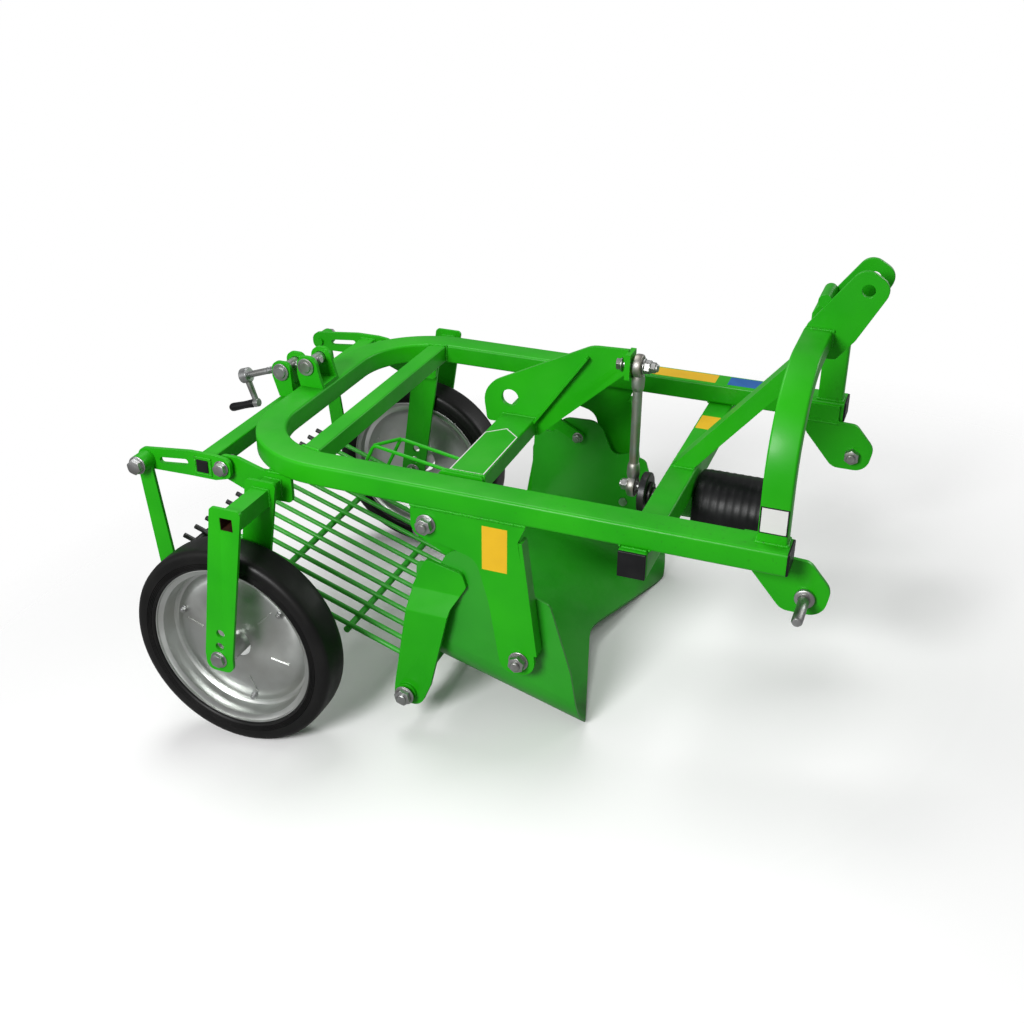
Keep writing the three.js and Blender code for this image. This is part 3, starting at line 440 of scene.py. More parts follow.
ENAMEL = GlossPaint()
# The same enamel with more dark edge chipping: partly worn paint, partly painted shade for the brace and the
# bearing barrel, which stand in shadow.
SHADED = GlossPaint("shaded_enamel", wear_and_shade=0.6)
SHARE_PAINT = ScouredPaint()
ROD_PAINT = RodPaint()
ZINC = Plating()
ROD_ZINC = Plating("grey_zinc", Slot.ZINC, (0.42, 0.42, 0.41, 1), (0.34, 0.26, 0.16, 1), roughness=0.4)
GALVANISED = SpunSheet()
RUBBER = Rubber()
PLASTIC = Moulded()
OILED_STEEL = Moulded("oiled_steel", Slot.DARK_STEEL, (0.05, 0.05, 0.052, 1), (0.12, 0.11, 0.1, 1),
                      roughness=0.34, metallic=0.9)
RUST = Moulded("rusted_steel", Slot.PAINT, (0.035, 0.012, 0.006, 1), (0.16, 0.05, 0.014, 1),
               roughness=0.7, metallic=0.2, grain=0.0006)
YELLOW = Moulded("yellow_sticker", Slot.PLASTIC, (0.86, 0.52, 0.02, 1), (0.8, 0.47, 0.02, 1), roughness=0.3)
WHITE = Moulded("white_sticker", Slot.PLASTIC, (0.8, 0.8, 0.78, 1), (0.74, 0.74, 0.72, 1), roughness=0.3)
BLUE = Moulded("blue_sticker", Slot.PLASTIC, (0.02, 0.12, 0.4, 1), (0.03, 0.16, 0.5, 1), roughness=0.3)


# ------------------------ drawing


def mirrored(half: Sequence[Flat]) -> list[Flat]:
    """A turned profile given by its far half, from the axis to the middle."""
    return [(-along, radius) for along, radius in half] + list(reversed(half))


def ringed(profile: Sequence[Flat]) -> list[Flat]:
    """The profile as a closed ring."""
    return [*profile, profile[0]]


def aimed(at: Point | Vector, axis: Point | Vector) -> Matrix:
    """The matrix that stands a thing drawn along z at a point, along an axis."""
    turn = Vector((0, 0, 1)).rotation_difference(Vector(axis))
    return Matrix.Translation(at) @ turn.to_matrix().to_4x4()


class Drawing:
    """A mesh being drawn on the level machine, in millimetres."""

    def __init__(self) -> None:
        """Starts an empty mesh."""
        self.mesh = bmesh.new()

    def node(self, name: str, trims: Trims = ()) -> Drawing:
        """Adds a clean copy of a CAD node.

        Args:
            name: The node.
            trims: (point, way out) planes; what lies beyond one, such as a plain bolt end, is cut off.

        Returns:
            This drawing.
        """
        part = bmesh.new()
        part.from_mesh(frame["nodes"][name].data)
        bmesh.ops.remove_doubles(part, verts=part.verts, dist=1e-5)
        part.transform(LEVEL.inverted())
        for point, away in trims:
            cut = bmesh.ops.bisect_plane(part, geom=part.verts[:] + part.edges[:] + part.faces[:], dist=1e-4,
                                         plane_co=point, plane_no=away, clear_outer=True)["geom_cut"]
            rim = [edge for edge in cut if isinstance(edge, bmesh.types.BMEdge)]
            bmesh.ops.holes_fill(part, edges=rim, sides=0)
        bmesh.ops.dissolve_limit(part, angle_limit=math.radians(0.6), verts=part.verts, edges=part.edges)
        return self.take(part)

    def grown(self, mesh: bpy.types.Mesh, place: Matrix | None = None) -> Drawing:
        """Adds what a node tree grew, moved to its place; a mirrored one is turned right side out.

        Args:
            mesh: What the tree grew.
            place: Where it goes on the level machine.

        Returns:
            This drawing.
        """
        part = bmesh.new()
        part.from_mesh(mesh)
        if place is not None:
            part.transform(place)
            if place.determinant() < 0:
                bmesh.ops.recalc_face_normals(part, faces=part.faces)
        return self.take(part)

    def take(self, part: bmesh.types.BMesh) -> Drawing:
        """Adds another mesh and frees it.

        Args:
            part: The other mesh.

        Returns:
            This drawing.
        """
        held = bpy.data.meshes.new("held")
        part.to_mesh(held)
        part.free()
        self.mesh.from_mesh(held)
        bpy.data.meshes.remove(held)
        return self

    def turned(self, profile: Sequence[Flat], at: Point, axis: Point, sides: int = 48) -> Drawing:
        """Adds a body of revolution.

        Args:
            profile: (distance along the axis, radius) pairs; a radius of 0 closes an end, and a
                profile whose last pair is its first is a closed ring.
            at: Where the axis starts.
            axis: The way the axis runs.
            sides: How many faces go round.

        Returns:
            This drawing.
        """
        part = bmesh.new()
        ring = profile[0] == profile[-1]
        rows: list[list[bmesh.types.BMVert]] = []
        for along, radius in profile[:-1] if ring else profile:
            count = sides if radius else 1
            rows.append([part.verts.new((radius * math.cos(2 * math.pi * i / count),
                                         radius * math.sin(2 * math.pi * i / count), along))
                         for i in range(count)])
        for low, high in zip(rows, rows[1:] + rows[:1] if ring else rows[1:]):
            for i in range(sides):
                loop = [low[i % len(low)], low[(i + 1) % len(low)],
                        high[(i + 1) % len(high)], high[i % len(high)]]
                unique = list(dict.fromkeys(loop))
                if len(unique) > 2:
                    part.faces.new(unique)
        bmesh.ops.recalc_face_normals(part, faces=part.faces)
        part.transform(aimed(at, axis))
        return self.take(part)

    def block(self, low: Point, high: Point) -> Drawing:
        """Adds a box between any two opposite corners."""
        middle = [(a + b) / 2 for a, b in zip(low, high)]
        return self.bar([abs(b - a) for a, b in zip(low, high)], Matrix.Translation(middle))

    def bar(self, size: Sequence[float], place: Matrix) -> Drawing:
        """Adds a box of that size about its middle, put in its place.

        Args:
            size: Its length along each of its own axes.
            place: Where its middle goes, and how it is turned.

        Returns:
            This drawing.
        """
        part = bmesh.new()
        bmesh.ops.create_cube(part, size=1.0)
        part.transform(place @ Matrix.Diagonal((*size, 1)))
        return self.take(part)

    def loft(self, rings: Sequence[Sequence[Point]], place: Matrix | None = None,
             closed: bool = False) -> Drawing:
        """Adds a skin over rings of points; its ends are capped unless it closes on itself.

        Args:
            rings: Rings of equally many points.
            place: Where the skin goes on the level machine.
            closed: Whether the last ring joins the first.

        Returns:
            This drawing.
        """
        part = bmesh.new()
        rows = [[part.verts.new(point) for point in ring] for ring in rings]
        for low, high in zip(rows, rows[1:] + rows[:1] if closed else rows[1:]):
            for i in range(len(low)):
                j = (i + 1) % len(low)
                part.faces.new((low[i], low[j], high[j], high[i]))
        if not closed:
            part.faces.new(rows[0][::-1])
            part.faces.new(rows[-1])
        bmesh.ops.recalc_face_normals(part, faces=part.faces)
        part.transform(place or Matrix())
        return self.take(part)

    def hexagon(self, at: Point, axis: Point, flats: float, height: float) -> Drawing:
        """Adds a hexagon head or nut with a chamfered crown.

        Args:
            at: The middle of its flat face.
            axis: The way it points.
            flats: Half its width across the flats.
            height: How tall it is.

        Returns:
            This drawing.
        """
        sides, steepness = 36, 0.55
        crown = flats * 0.96
        rings: list[list[Point]] = [[], [], []]
        for turn in (2 * math.pi * i / sides for i in range(sides)):
            reach = flats / math.cos((turn + math.pi / 6) % (math.pi / 3) - math.pi / 6)
            drop = max(reach - crown, 0.0) * steepness
            for ring, (radius, along) in zip(rings, ((reach, 0.0), (reach, height - drop), (crown, height))):
                ring.append((radius * math.cos(turn), radius * math.sin(turn), along))
        return self.loft(rings, aimed(at, axis))

    def mesh_of(self, name: str) -> bpy.types.Mesh:
        """Sets the drawing down on the parked machine as a plain mesh.

        Args:
            name: The mesh's name.

        Returns:
            The mesh, in metres.
        """
        self.mesh.transform(LEVEL)
        made = bpy.data.meshes.new(name)
        self.mesh.to_mesh(made)
        self.mesh.free()
        return made


@dataclass
class Piece:
    """One finished piece of the machine, and how it is handed to the frame."""

    name: str
    finish: Finish
    body: Body
    stands_for: Sequence[str] = ()
    bevel: float = 0.0
    segments: int = 3
    smooth: float = 32.0

    def make(self, source: Drawing | bpy.types.Mesh) -> bpy.types.Object:
        """Turns a drawing or a mesh into the finished object.

        Args:
            source: The shape, still level if it is a drawing.

        Returns:
            The object, riding on its body.
        """
        mesh = source.mesh_of(self.name) if isinstance(source, Drawing) else source
        made = stand(self.name, mesh)
        mesh.materials.clear()
        mesh.materials.append(material_of(self.finish))
        mesh.shade_smooth()
        mesh.set_sharp_from_angle(angle=math.radians(self.smooth))
        if self.bevel:
            edge = made.modifiers.new("rounded_edges", "BEVEL")
            edge.width = self.bevel * MM
            edge.segments = self.segments
            edge.limit_method = "ANGLE"
            edge.angle_limit = math.radians(38)
            edge.harden_normals = True
            edge.miter_outer = "MITER_ARC"
        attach(made, self.body.value)
        if self.stands_for:
            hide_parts(*self.stands_for)
        LOG.info("%s on %s", self.name, self.body.value)
        return made


def stand(name: str, data: Any) -> bpy.types.Object:
    """Puts an object with that data in the scene.

    Args:
        name: The object's name.
        data: Its mesh, lamp or camera.

    Returns:
        The object.
    """
    made = bpy.data.objects.new(name, data)
    bpy.context.scene.collection.objects.link(made)
    return made


_materials: dict[str, bpy.types.Material] = {}


def material_of(finish: Finish) -> bpy.types.Material:
    """The one material of a finish, built the first time it is asked for.

    Args:
        finish: The finish.

    Returns:
        Its material.
    """
    if finish.name not in _materials:
        _materials[finish.name] = finish.material()
    return _materials[finish.name]


def dress(node: str, finish: Finish, bevel: float, segments: int = 3,
          trims: Trims = ()) -> bpy.types.Object:
    """Replaces a CAD node with a copy whose edges are rounded by bevel millimetres."""
    return Piece(f"{node}_skin", finish, Body(NODE_BODY[node]), [node], bevel, segments).make(
        Drawing().node(node, trims))


def dress_sides(bevel: float, *stems: str) -> None:
    """Dresses the right and then the left node of each name in enamel.

    Args:
        bevel: How far the edges are rounded.
        stems: The names without their side.
    """
    for _, label in HANDS:
        for stem in stems:
            dress(f"{stem}_{label}", ENAMEL, bevel)


# ------------------------ geometry node trees


class Grower:
    """A Geometry Nodes tree that grows a mesh from named sizes."""

    def __init__(self, name: str, sizes: dict[str, str]) -> None:
        """Starts a tree.

        Args:
            name: The tree's name.
            sizes: Input name to its socket's type, such as Float, Int or Object.
        """
        self.tree = bpy.data.node_groups.new(name, "GeometryNodeTree")
        self.tree.interface.new_socket("Geometry", in_out="INPUT", socket_type="NodeSocketGeometry")
        for label, kind in {**sizes, "Material": "Material"}.items():
            self.tree.interface.new_socket(label, in_out="INPUT", socket_type=f"NodeSocket{kind}")
        self.tree.interface.new_socket("Geometry", in_out="OUTPUT", socket_type="NodeSocketGeometry")
        self.graph = Graph(self.tree)
        self.inputs = self.graph.add("NodeGroupInput").outputs

    def path(self) -> Socket:
        """The source's edges as a curve."""
        return self.graph.out("GeometryNodeMeshToCurve", {0: self.inputs["Geometry"]})

    def fillet(self, curve: Socket, radius: Socket,
               count: int) -> Socket:
        """Rounds a curve's corners with that many short straights each."""
        return self.graph.out("GeometryNodeFilletCurve", {
            0: curve, "Count": count, "Limit Radius": True, "Radius": radius}, mode="POLY")

    def sweep(self, path: Socket, section: Socket) -> Socket:
        """A section swept along a path, with closed ends."""
        return self.graph.out("GeometryNodeCurveToMesh", {
            "Curve": path, "Profile Curve": section, "Fill Caps": True})

    def ring(self, sides: int, radius: Socket) -> Socket:
        """A round section."""
        return self.graph.out("GeometryNodeCurvePrimitiveCircle", {"Resolution": sides, "Radius": radius})

    def close(self, shape: Socket) -> Grower:
        """Ends the tree: instances made real, material set.

        Args:
            shape: What the tree grows.

        Returns:
            This grower.
        """
        real = self.graph.out("GeometryNodeRealizeInstances", {0: shape})
        painted = self.graph.add("GeometryNodeSetMaterial", {0: real, "Material": self.inputs["Material"]})
        self.graph.add("NodeGroupOutput", {0: painted.outputs[0]})
        return self

    def grow(self, source: bpy.types.Mesh, finish: Finish, sizes: dict[str, Any]) -> bpy.types.Mesh:
        """Runs the tree.

        Args:
            source: The mesh that it starts from.
            finish: The finish of what it grows.
            sizes: Values for its named inputs.

        Returns:
            A plain mesh.
        """
        host = stand("host", source)
        grown = host.modifiers.new("grow", "NODES")
        grown.node_group = self.tree
        sizes = {**sizes, "Material": material_of(finish)}
        for item in self.tree.interface.items_tree:
            if item.in_out == "INPUT" and item.name in sizes:
                grown[item.identifier] = sizes[item.name]
        depsgraph = bpy.context.evaluated_depsgraph_get()
        mesh = bpy.data.meshes.new_from_object(host.evaluated_get(depsgraph))
        host.modifiers.remove(grown)
        bpy.data.objects.remove(host)
        return mesh


def swept_tube() -> Grower:
    """A rectangular hollow section bent along a flat path.

    The path lies in its own XY plane; Width is in that plane and Height across it.

    Returns:
        The grower.
    """
    grower = Grower("swept_tube", {"Width": "Float", "Height": "Float", "Corner": "Float", "Bend": "Float"})
    graph, ins = grower.graph, grower.inputs
    bent = grower.fillet(grower.path(), ins["Bend"], 28)
    section = graph.out("GeometryNodeCurvePrimitiveQuadrilateral", {"Width": ins["Width"],
                                                                    "Height": ins["Height"]})
    up = graph.out("GeometryNodeSetCurveNormal", {0: bent}, mode="Z_UP")
    return grower.close(grower.sweep(up, grower.fillet(section, ins["Corner"], 5)))


def round_wire() -> Grower:
    """Round wire bent along polylines.

    Returns:
        The grower.
    """
    grower = Grower("round_wire", {"Radius": "Float", "Bend": "Float"})
    bent = grower.fillet(grower.path(), grower.inputs["Bend"], 8)
    return grower.close(grower.sweep(bent, grower.ring(16, grower.inputs["Radius"])))


def repeated_template() -> Grower:
    """Copies of a template, one at each point, turned by its aim and sized by its size.

    Returns:
        The grower.
    """
    grower = Grower("repeated_template", {"Template": "Object"})
    graph, ins = grower.graph, grower.inputs
    template = graph.add("GeometryNodeObjectInfo", {"Object": ins["Template"]}).outputs["Geometry"]
    aim = graph.out("GeometryNodeInputNamedAttribute", {"Name": "aim"}, data_type="FLOAT_VECTOR")
    size = graph.out("GeometryNodeInputNamedAttribute", {"Name": "size"}, data_type="FLOAT_VECTOR")
    turn = graph.out("FunctionNodeEulerToRotation", {0: aim})
    copies = graph.out("GeometryNodeInstanceOnPoints", {
        "Points": ins["Geometry"], "Instance": template, "Rotation": turn, "Scale": size})
    return grower.close(copies)


def weld_seam() -> Grower:
    """A row of overlapping weld ripples along polylines.

    Returns:
        The grower.
    """
    grower = Grower("weld_seam", {"Spacing": "Float", "Radius": "Float", "Seed": "Int"})
    graph, ins = grower.graph, grower.inputs
    row = graph.out("GeometryNodeResampleCurve", {0: grower.path(), "Length": ins["Spacing"]}, mode="LENGTH")
    drop = graph.out("GeometryNodeMeshIcoSphere", {"Radius": ins["Radius"], "Subdivisions": 2})
    wobble = graph.out("FunctionNodeRandomValue", {
        0: (0.8, 0.8, 0.7), 1: (1.15, 1.15, 1.0), "Seed": ins["Seed"]}, data_type="FLOAT_VECTOR")
    return grower.close(graph.out("GeometryNodeInstanceOnPoints", {
        "Points": row, "Instance": drop, "Scale": wobble}))


def rod_row() -> Grower:
    """Parallel round rods: they run along x and are spaced along y.

    Returns:
        The grower.
    """
    grower = Grower("rod_row", {"Count": "Int", "Pitch": "Float", "Length": "Float", "Radius": "Float"})
    graph, ins = grower.graph, grower.inputs
    offset = graph.out("ShaderNodeCombineXYZ", {"Y": ins["Pitch"]})
    half = graph.math("MULTIPLY", graph.math("SUBTRACT", ins["Count"], 1.0), graph.math(
        "MULTIPLY", ins["Pitch"], -0.5))
    start = graph.out("ShaderNodeCombineXYZ", {"Y": half})
    points = graph.out("GeometryNodeMeshLine", {"Count": ins["Count"], "Start Location": start,
                                                "Offset": offset})
    end = graph.out("ShaderNodeCombineXYZ", {"X": ins["Length"]})
    line = graph.out("GeometryNodeCurvePrimitiveLine", {"End": end})
    rod = grower.sweep(line, grower.ring(20, ins["Radius"]))
    rods = graph.out("GeometryNodeInstanceOnPoints", {"Points": points, "Instance": rod})
    return grower.close(rods)


def thread_helix() -> Grower:
    """The raised helix of a screw thread, rising along z.

    Returns:
        The grower.
    """
    grower = Grower("thread_helix", {"Turns": "Float", "Length": "Float", "Radius": "Float",
                                     "Crest": "Float"})
    graph, ins = grower.graph, grower.inputs
    helix = graph.out("GeometryNodeCurveSpiral", {
        "Resolution": 20, "Rotations": ins["Turns"], "Start Radius": ins["Radius"],
        "End Radius": ins["Radius"], "Height": ins["Length"]})
    return grower.close(grower.sweep(helix, grower.ring(4, ins["Crest"])))


def polyline(paths: Iterable[Sequence[Point]]) -> bpy.types.Mesh:
    """A mesh of bare edges along each path.

    Args:
        paths: The points of each path, in order.

    Returns:
        The mesh.
    """
    mesh = bpy.data.meshes.new("path")
    points: list[Point] = []
    edges: list[tuple[int, int]] = []
    for path in paths:
        first = len(points)
        points.extend(path)
        edges.extend((first + i, first + i + 1) for i in range(len(path) - 1))
    mesh.from_pydata(points, edges, [])
    return mesh


# ------------------------ fasteners and welds


@dataclass(frozen=True)
class Fastener:
    """A pin or bolt through plates, along y.

    Attributes:
        x, z: Its axis.
        side: -1 right or 1 left; its head points away from the middle.
        face: Distance from the middle to the face under its washer.
        inner: Distance from the middle to its other end.
        radius: The shank's radius.
        head: What closes its outer end.
        tail: Distance from the middle to the face under a nut on its inner end, if it has one.
        tall: How tall its head is beside a standard one.
    """

    x: float
    z: float
    side: int
    face: float
    inner: float
    radius: float = 8.0
    head: Head = Head.NUT
    tail: float | None = None
    tall: float = 1.0


class Ironmonger:
    """Draws every fastener of one body: shanks in one piece, heads and nuts in another."""

    def __init__(self, body: Body, name: str) -> None:
        """Starts an empty set for a body.

        Args:
            body: The body that they ride on.
            name: The start of its pieces' names.
        """
        self.body = body
        self.name = name
        self.items: list[Fastener] = []
        self.spots: dict[Head, list[tuple[Point, Point, Point]]] = {Head.BOLT: [], Head.NUT: []}
        self.shanks = Drawing()

    @staticmethod
    def template(head: Head) -> bpy.types.Object:
        """A head or nut of unit shank radius on its washer, pointing along z.

        Args:
            head: Which of the two.

        Returns:
            Its object, to be removed after use.
        """
        drawing = Drawing()
        washer = 0.34
        drawing.turned([(0, 0), (0, 1.95), (0.08, 2.05), (washer - 0.08, 2.05), (washer, 1.95), (washer, 0)],
                       (0, 0, 0), (0, 0, 1), 40)
        drawing.hexagon((0, 0, washer), (0, 0, 1), flats=1.5, height=1.25 if head is Head.BOLT else 1.5)
        if head is Head.NUT:
            drawing.turned([(1.0, 0), (1.0, 0.98), (2.3, 0.98), (2.5, 0.8), (2.5, 0)],
                           (0, 0, 0), (0, 0, 1), 24)
        mesh = bpy.data.meshes.new(f"{head.value}_template")
        drawing.mesh.to_mesh(mesh)
        drawing.mesh.free()
        return bpy.data.objects.new(f"{head.value}_template", mesh)

    def put(self, head: Head, at: Point, axis: Point, radius: float, tall: float = 1.0) -> Ironmonger:
        """Puts one head or nut on a shank; each is done up a bit differently.

        Args:
            head: Which of the two.
            at: The point under its washer.
            axis: The way it points.
            radius: The shank's radius.
            tall: How tall it is beside a standard one.

        Returns:
            This set.
        """
        roll = Quaternion((0, 0, 1), math.radians(14 + 37 * len(self.spots[head])))
        turn = Vector((0, 0, 1)).rotation_difference(Vector(axis)) @ roll
        self.spots[head].append((at, tuple(turn.to_euler()), (radius, radius, radius * tall)))
        return self

    def add(self, *items: Fastener) -> Ironmonger:
        """Adds fasteners along y.

        Args:
            items: The fasteners.

        Returns:
            This set.
        """
        for item in items:
            start, end = item.side * item.inner, item.side * item.face
            length = abs(end - start)
            self.shanks.turned([(0, 0), (0, item.radius - 0.8), (0.8, item.radius), (length + 2, item.radius),
                                (length + 2, 0)], (item.x, start, item.z), (0, item.side, 0), 32)
            self.put(item.head, (item.x, end, item.z), (0, item.side, 0), item.radius, item.tall)
            if item.tail is not None:
                self.put(Head.NUT, (item.x, item.side * item.tail, item.z), (0, -item.side, 0), item.radius)
        return self

    def deliver(self, stands_for: Sequence[str], finish: Finish = ZINC) -> None:
        """Makes the two pieces; the shanks stand for the CAD nodes.

        Args:
            stands_for: The nodes that the shanks replace.
            finish: Their finish.
        """
        Piece(f"{self.name}_shanks", finish, self.body, stands_for).make(self.shanks)
        grower = repeated_template()
        combined = Drawing()
        for head, spots in self.spots.items():
            if not spots:
                continue
            points = bpy.data.meshes.new("points")
            points.from_pydata([spot[0] for spot in spots], [], [])
            for label, column in (("aim", 1), ("size", 2)):
                layer = points.attributes.new(label, "FLOAT_VECTOR", "POINT")
                layer.data.foreach_set("vector", [v for spot in spots for v in spot[column]])
            template = self.template(head)
            grown = grower.grow(points, finish, {"Template": template})
            bpy.data.objects.remove(template)
            combined.grown(grown)
        Piece(f"{self.name}_heads", finish, self.body, bevel=0.35, segments=2).make(combined)


@dataclass
class Welds:
    """Weld seams of one body."""

    body: Body
    name: str
    paths: list[Sequence[Point]] = field(default_factory=list)
    radius: float = 4.2
    overlap: float = 0.62

    def both(self, *paths: Sequence[Point]) -> Welds:
        """Adds each seam and its mirror on the other side.

        Args:
            paths: The seams on the left side.

        Returns:
            These welds.
        """
        for path in paths:
            self.paths += [path, [(x, -y, z) for x, y, z in path]]
        return self

    def square(self, x: float, z: float, half: float, *faces: float) -> Welds:
        """Adds a seam round a square tube at each of these distances from the middle, on both sides.

        Args:
            x: The tube's middle, forward.
            z: The tube's middle, upward.
            half: Half its width.
            faces: The distances.

        Returns:
            These welds.
        """
        for face in faces:
            self.both([(x + i * half, face, z + k * half)
                       for i, k in ((-1, -1), (1, -1), (1, 1), (-1, 1), (-1, -1))])
        return self

    def deliver(self, seed: int) -> None:
        """Makes the seams as one painted piece.

        Args:
            seed: The seed of the ripples.
        """
        grown = weld_seam().grow(polyline(self.paths), ENAMEL, {
            "Spacing": self.radius * self.overlap, "Radius": self.radius, "Seed": seed})
        Piece(f"{self.name}_welds", ENAMEL, self.body, smooth=80).make(Drawing().grown(grown))


def sticker(name: str, finish: Finish, body: Body, low: Point, high: Point) -> None:
    """A blank sticker, drawn as a thin plate between two corners."""
    Piece(name, finish, body, bevel=0.12, segments=2).make(Drawing().block(low, high))


# ------------------------ sub-assemblies


@dataclass
class RailLoop:
    """The looped tube that everything hangs from, with its two cross tubes."""

    inner: float = 341.8
    width: float = 70.0
    height: float = 50.0
    length: float = 1250.0
    bend: float = 205.0
    front_tube_x: float = -293.0
    front_tube: float = 60.0
    front_tube_end: float = 423.8
    inset: float = 1.5

    def build(self) -> None:
        """Makes the loop, the cross tubes, their end caps, stickers and seams."""
        middle = self.inner + self.width / 2
        back = -self.length + self.width / 2
        path = polyline([[(0, -middle, 0), (back, -middle, 0), (back, middle, 0), (0, middle, 0)]])
        grown = swept_tube().grow(path, ENAMEL, {
            "Width": self.width, "Height": self.height, "Corner": 7.0, "Bend": self.bend})
        Piece("rail_loop", ENAMEL, Body.FRAME, ["main_frame"]).make(
            Drawing().grown(grown, Matrix.Translation((0, 0, -self.height / 2))))
        dress("rear_cross_tube", ENAMEL, 5.0, 4)
        dress("front_cross_tube", ENAMEL, 6.0, 4)
        self.caps()
        self.stickers()
        Welds(Body.FRAME, "rail_loop", radius=3.6).both(
            [(-1027, 341, -3), (-1027, 341, -42)], [(-1028, 341, -1), (-1072, 331, -1)],
            [(-323, 345, -50), (-323, 408, -50)], [(-263, 345, -50), (-263, 408, -50)],
            [(-316, 412, -50), (-270, 412, -50)]).deliver(3)

    def caps(self) -> None:
        """Makes the black caps in the open tube ends."""
        drawing = Drawing()
        for side in SIDES:
            drawing.block((-2, side * (self.inner + self.inset), self.inset - self.height),
                          (4.5, side * (self.inner + self.width - self.inset), -self.inset))
            half = self.front_tube / 2 - self.inset
            drawing.block((self.front_tube_x - half, side * (self.front_tube_end - 2), -108.8),
                          (self.front_tube_x + half, side * (self.front_tube_end + 4), -51.8))
        Piece("tube_end_caps", PLASTIC, Body.FRAME, bevel=2.0).make(drawing)

    def stickers(self) -> None:
        """Puts the blank stickers on the far rail and the front cross tube."""
        sticker("yellow_rail_strip", YELLOW, Body.FRAME, (-472, 352, -0.1), (-312, 402, 0.35))
        sticker("blue_rail_patch", BLUE, Body.FRAME, (-282, 352, -0.1), (-190, 402, 0.35))
        sticker("yellow_tube_patch", YELLOW, Body.FRAME, (-318, 186, -50.4), (-268, 262, -49.95))


@dataclass
class HitchMast:
    """The arched mast, its top-link plates and brace, and the lower hitch plates and pins."""

    depth: float = 58.0
    wall: float = 35.0
    x: float = -35.0
    foot: float = 383.0
    top: float = 316.0
    bend: float = 194.5
    plate_out: float = 51.0
    pin: Flat = (34.0, -126.0)
    plate_face: float = 341.5

    def build(self) -> None:
        """Makes the mast and the hitch."""
        self.legs()
        dress_sides(1.2, "top_link_plate", "hitch_plate")
        dress("mast_brace", SHADED, 4.0, 4)
        Piece("mast_spacer_tube", ENAMEL, Body.FRAME, ["mast_spacer"], bevel=1.0).make(Drawing().turned(
            mirrored([(40.7, 0), (40.7, 14)]), (self.x + 5, 0, self.top + 55), (0, 1, 0)))
        self.pins()
        sticker("mast_label_border", PLASTIC, Body.FRAME, (-62, -383.45, 21), (-8, -382.9, 77))
        sticker("mast_label", WHITE, Body.FRAME, (-59.5, -383.7, 23.5), (-10.5, -383.0, 74.5))
        welds = Welds(Body.FRAME, "mast", radius=3.8)
        back, front = self.x - self.depth / 2, self.x + self.depth / 2
        outer, inner = self.foot, self.foot - self.wall
        under = self.top - self.wall
        welds.both([(back, outer, 1), (front, outer, 1)], [(back, inner, 1), (front, inner, 1)],
                   [(back, outer, 1), (back, inner, 1)], [(front, outer, 1), (front, inner, 1)],
                   [(back + 6, 52, self.top), (front, 52, self.top)],
                   [(front, 52, self.top), (front, 52, under)],
                   [(back + 4, 52, under), (front, 52, under)],
                   [(-94, 331.5, -50), (-10, 331.5, -50)], [(-96, 341, -50), (-8, 341, -50)],
                   [(-317, 30, -50), (-317, 4, -50)], [(-269, 30, -50), (-269, 4, -50)],
                   [(-316, 30, -50), (-270, 30, -50)]).deliver(5)

    def legs(self) -> None:
        """Makes the two halves of the arch as one bent tube each."""
        for side, label in HANDS:
            centre = self.foot - self.wall / 2
            path = polyline([[(centre, 0.3, 0), (centre, self.top - self.wall / 2, 0),
                              (self.plate_out + 0.3, self.top - self.wall / 2, 0)]])
            grown = swept_tube().grow(path, ENAMEL, {
                "Width": self.wall, "Height": self.depth, "Corner": 5.0, "Bend": self.bend})
            upright = Matrix(((0, 0, 1, self.x), (side, 0, 0, 0), (0, 1, 0, 0), (0, 0, 0, 1)))
            Piece(f"mast_leg_{label}_skin", ENAMEL, Body.FRAME, [f"mast_leg_{label}"]).make(
                Drawing().grown(grown, upright))

    def pins(self) -> None:
        """Makes the lower hitch pins with their collars and nuts, and a short cross rod where the lynch pin goes,
        sunk inside each pin's end.
        """
        face = self.plate_face
        drawing = Drawing()
        for side in SIDES:
            drawing.turned([(-37, 0), (-37, 9), (-35.5, 10.6), (0, 10.6), (0, 19), (1.2, 20), (8, 20),
                            (9.5, 18), (10, 12.5), (12, 11), (90, 11), (95, 8.5), (97, 0)],
                           off(self.pin, side * (face + 0.3)), (0, side, 0))
            drawing.turned(mirrored([(7, 0), (7, 2.4), (6.4, 3)]), off(self.pin, side * (face + 82)),
                           (0, 0, 1), 20)
        Piece("hitch_pin_shanks", ZINC, Body.FRAME, ["hitch_pin_right", "hitch_pin_left"], bevel=0.5,
              segments=2).make(
            drawing)
        nuts = Drawing()
        for side in SIDES:
            nuts.hexagon(off(self.pin, side * (face - 10.3)), (0, -side, 0), 16, 17)
        Piece("hitch_pin_nuts", ZINC, Body.FRAME, bevel=0.4, segments=2).make(nuts)


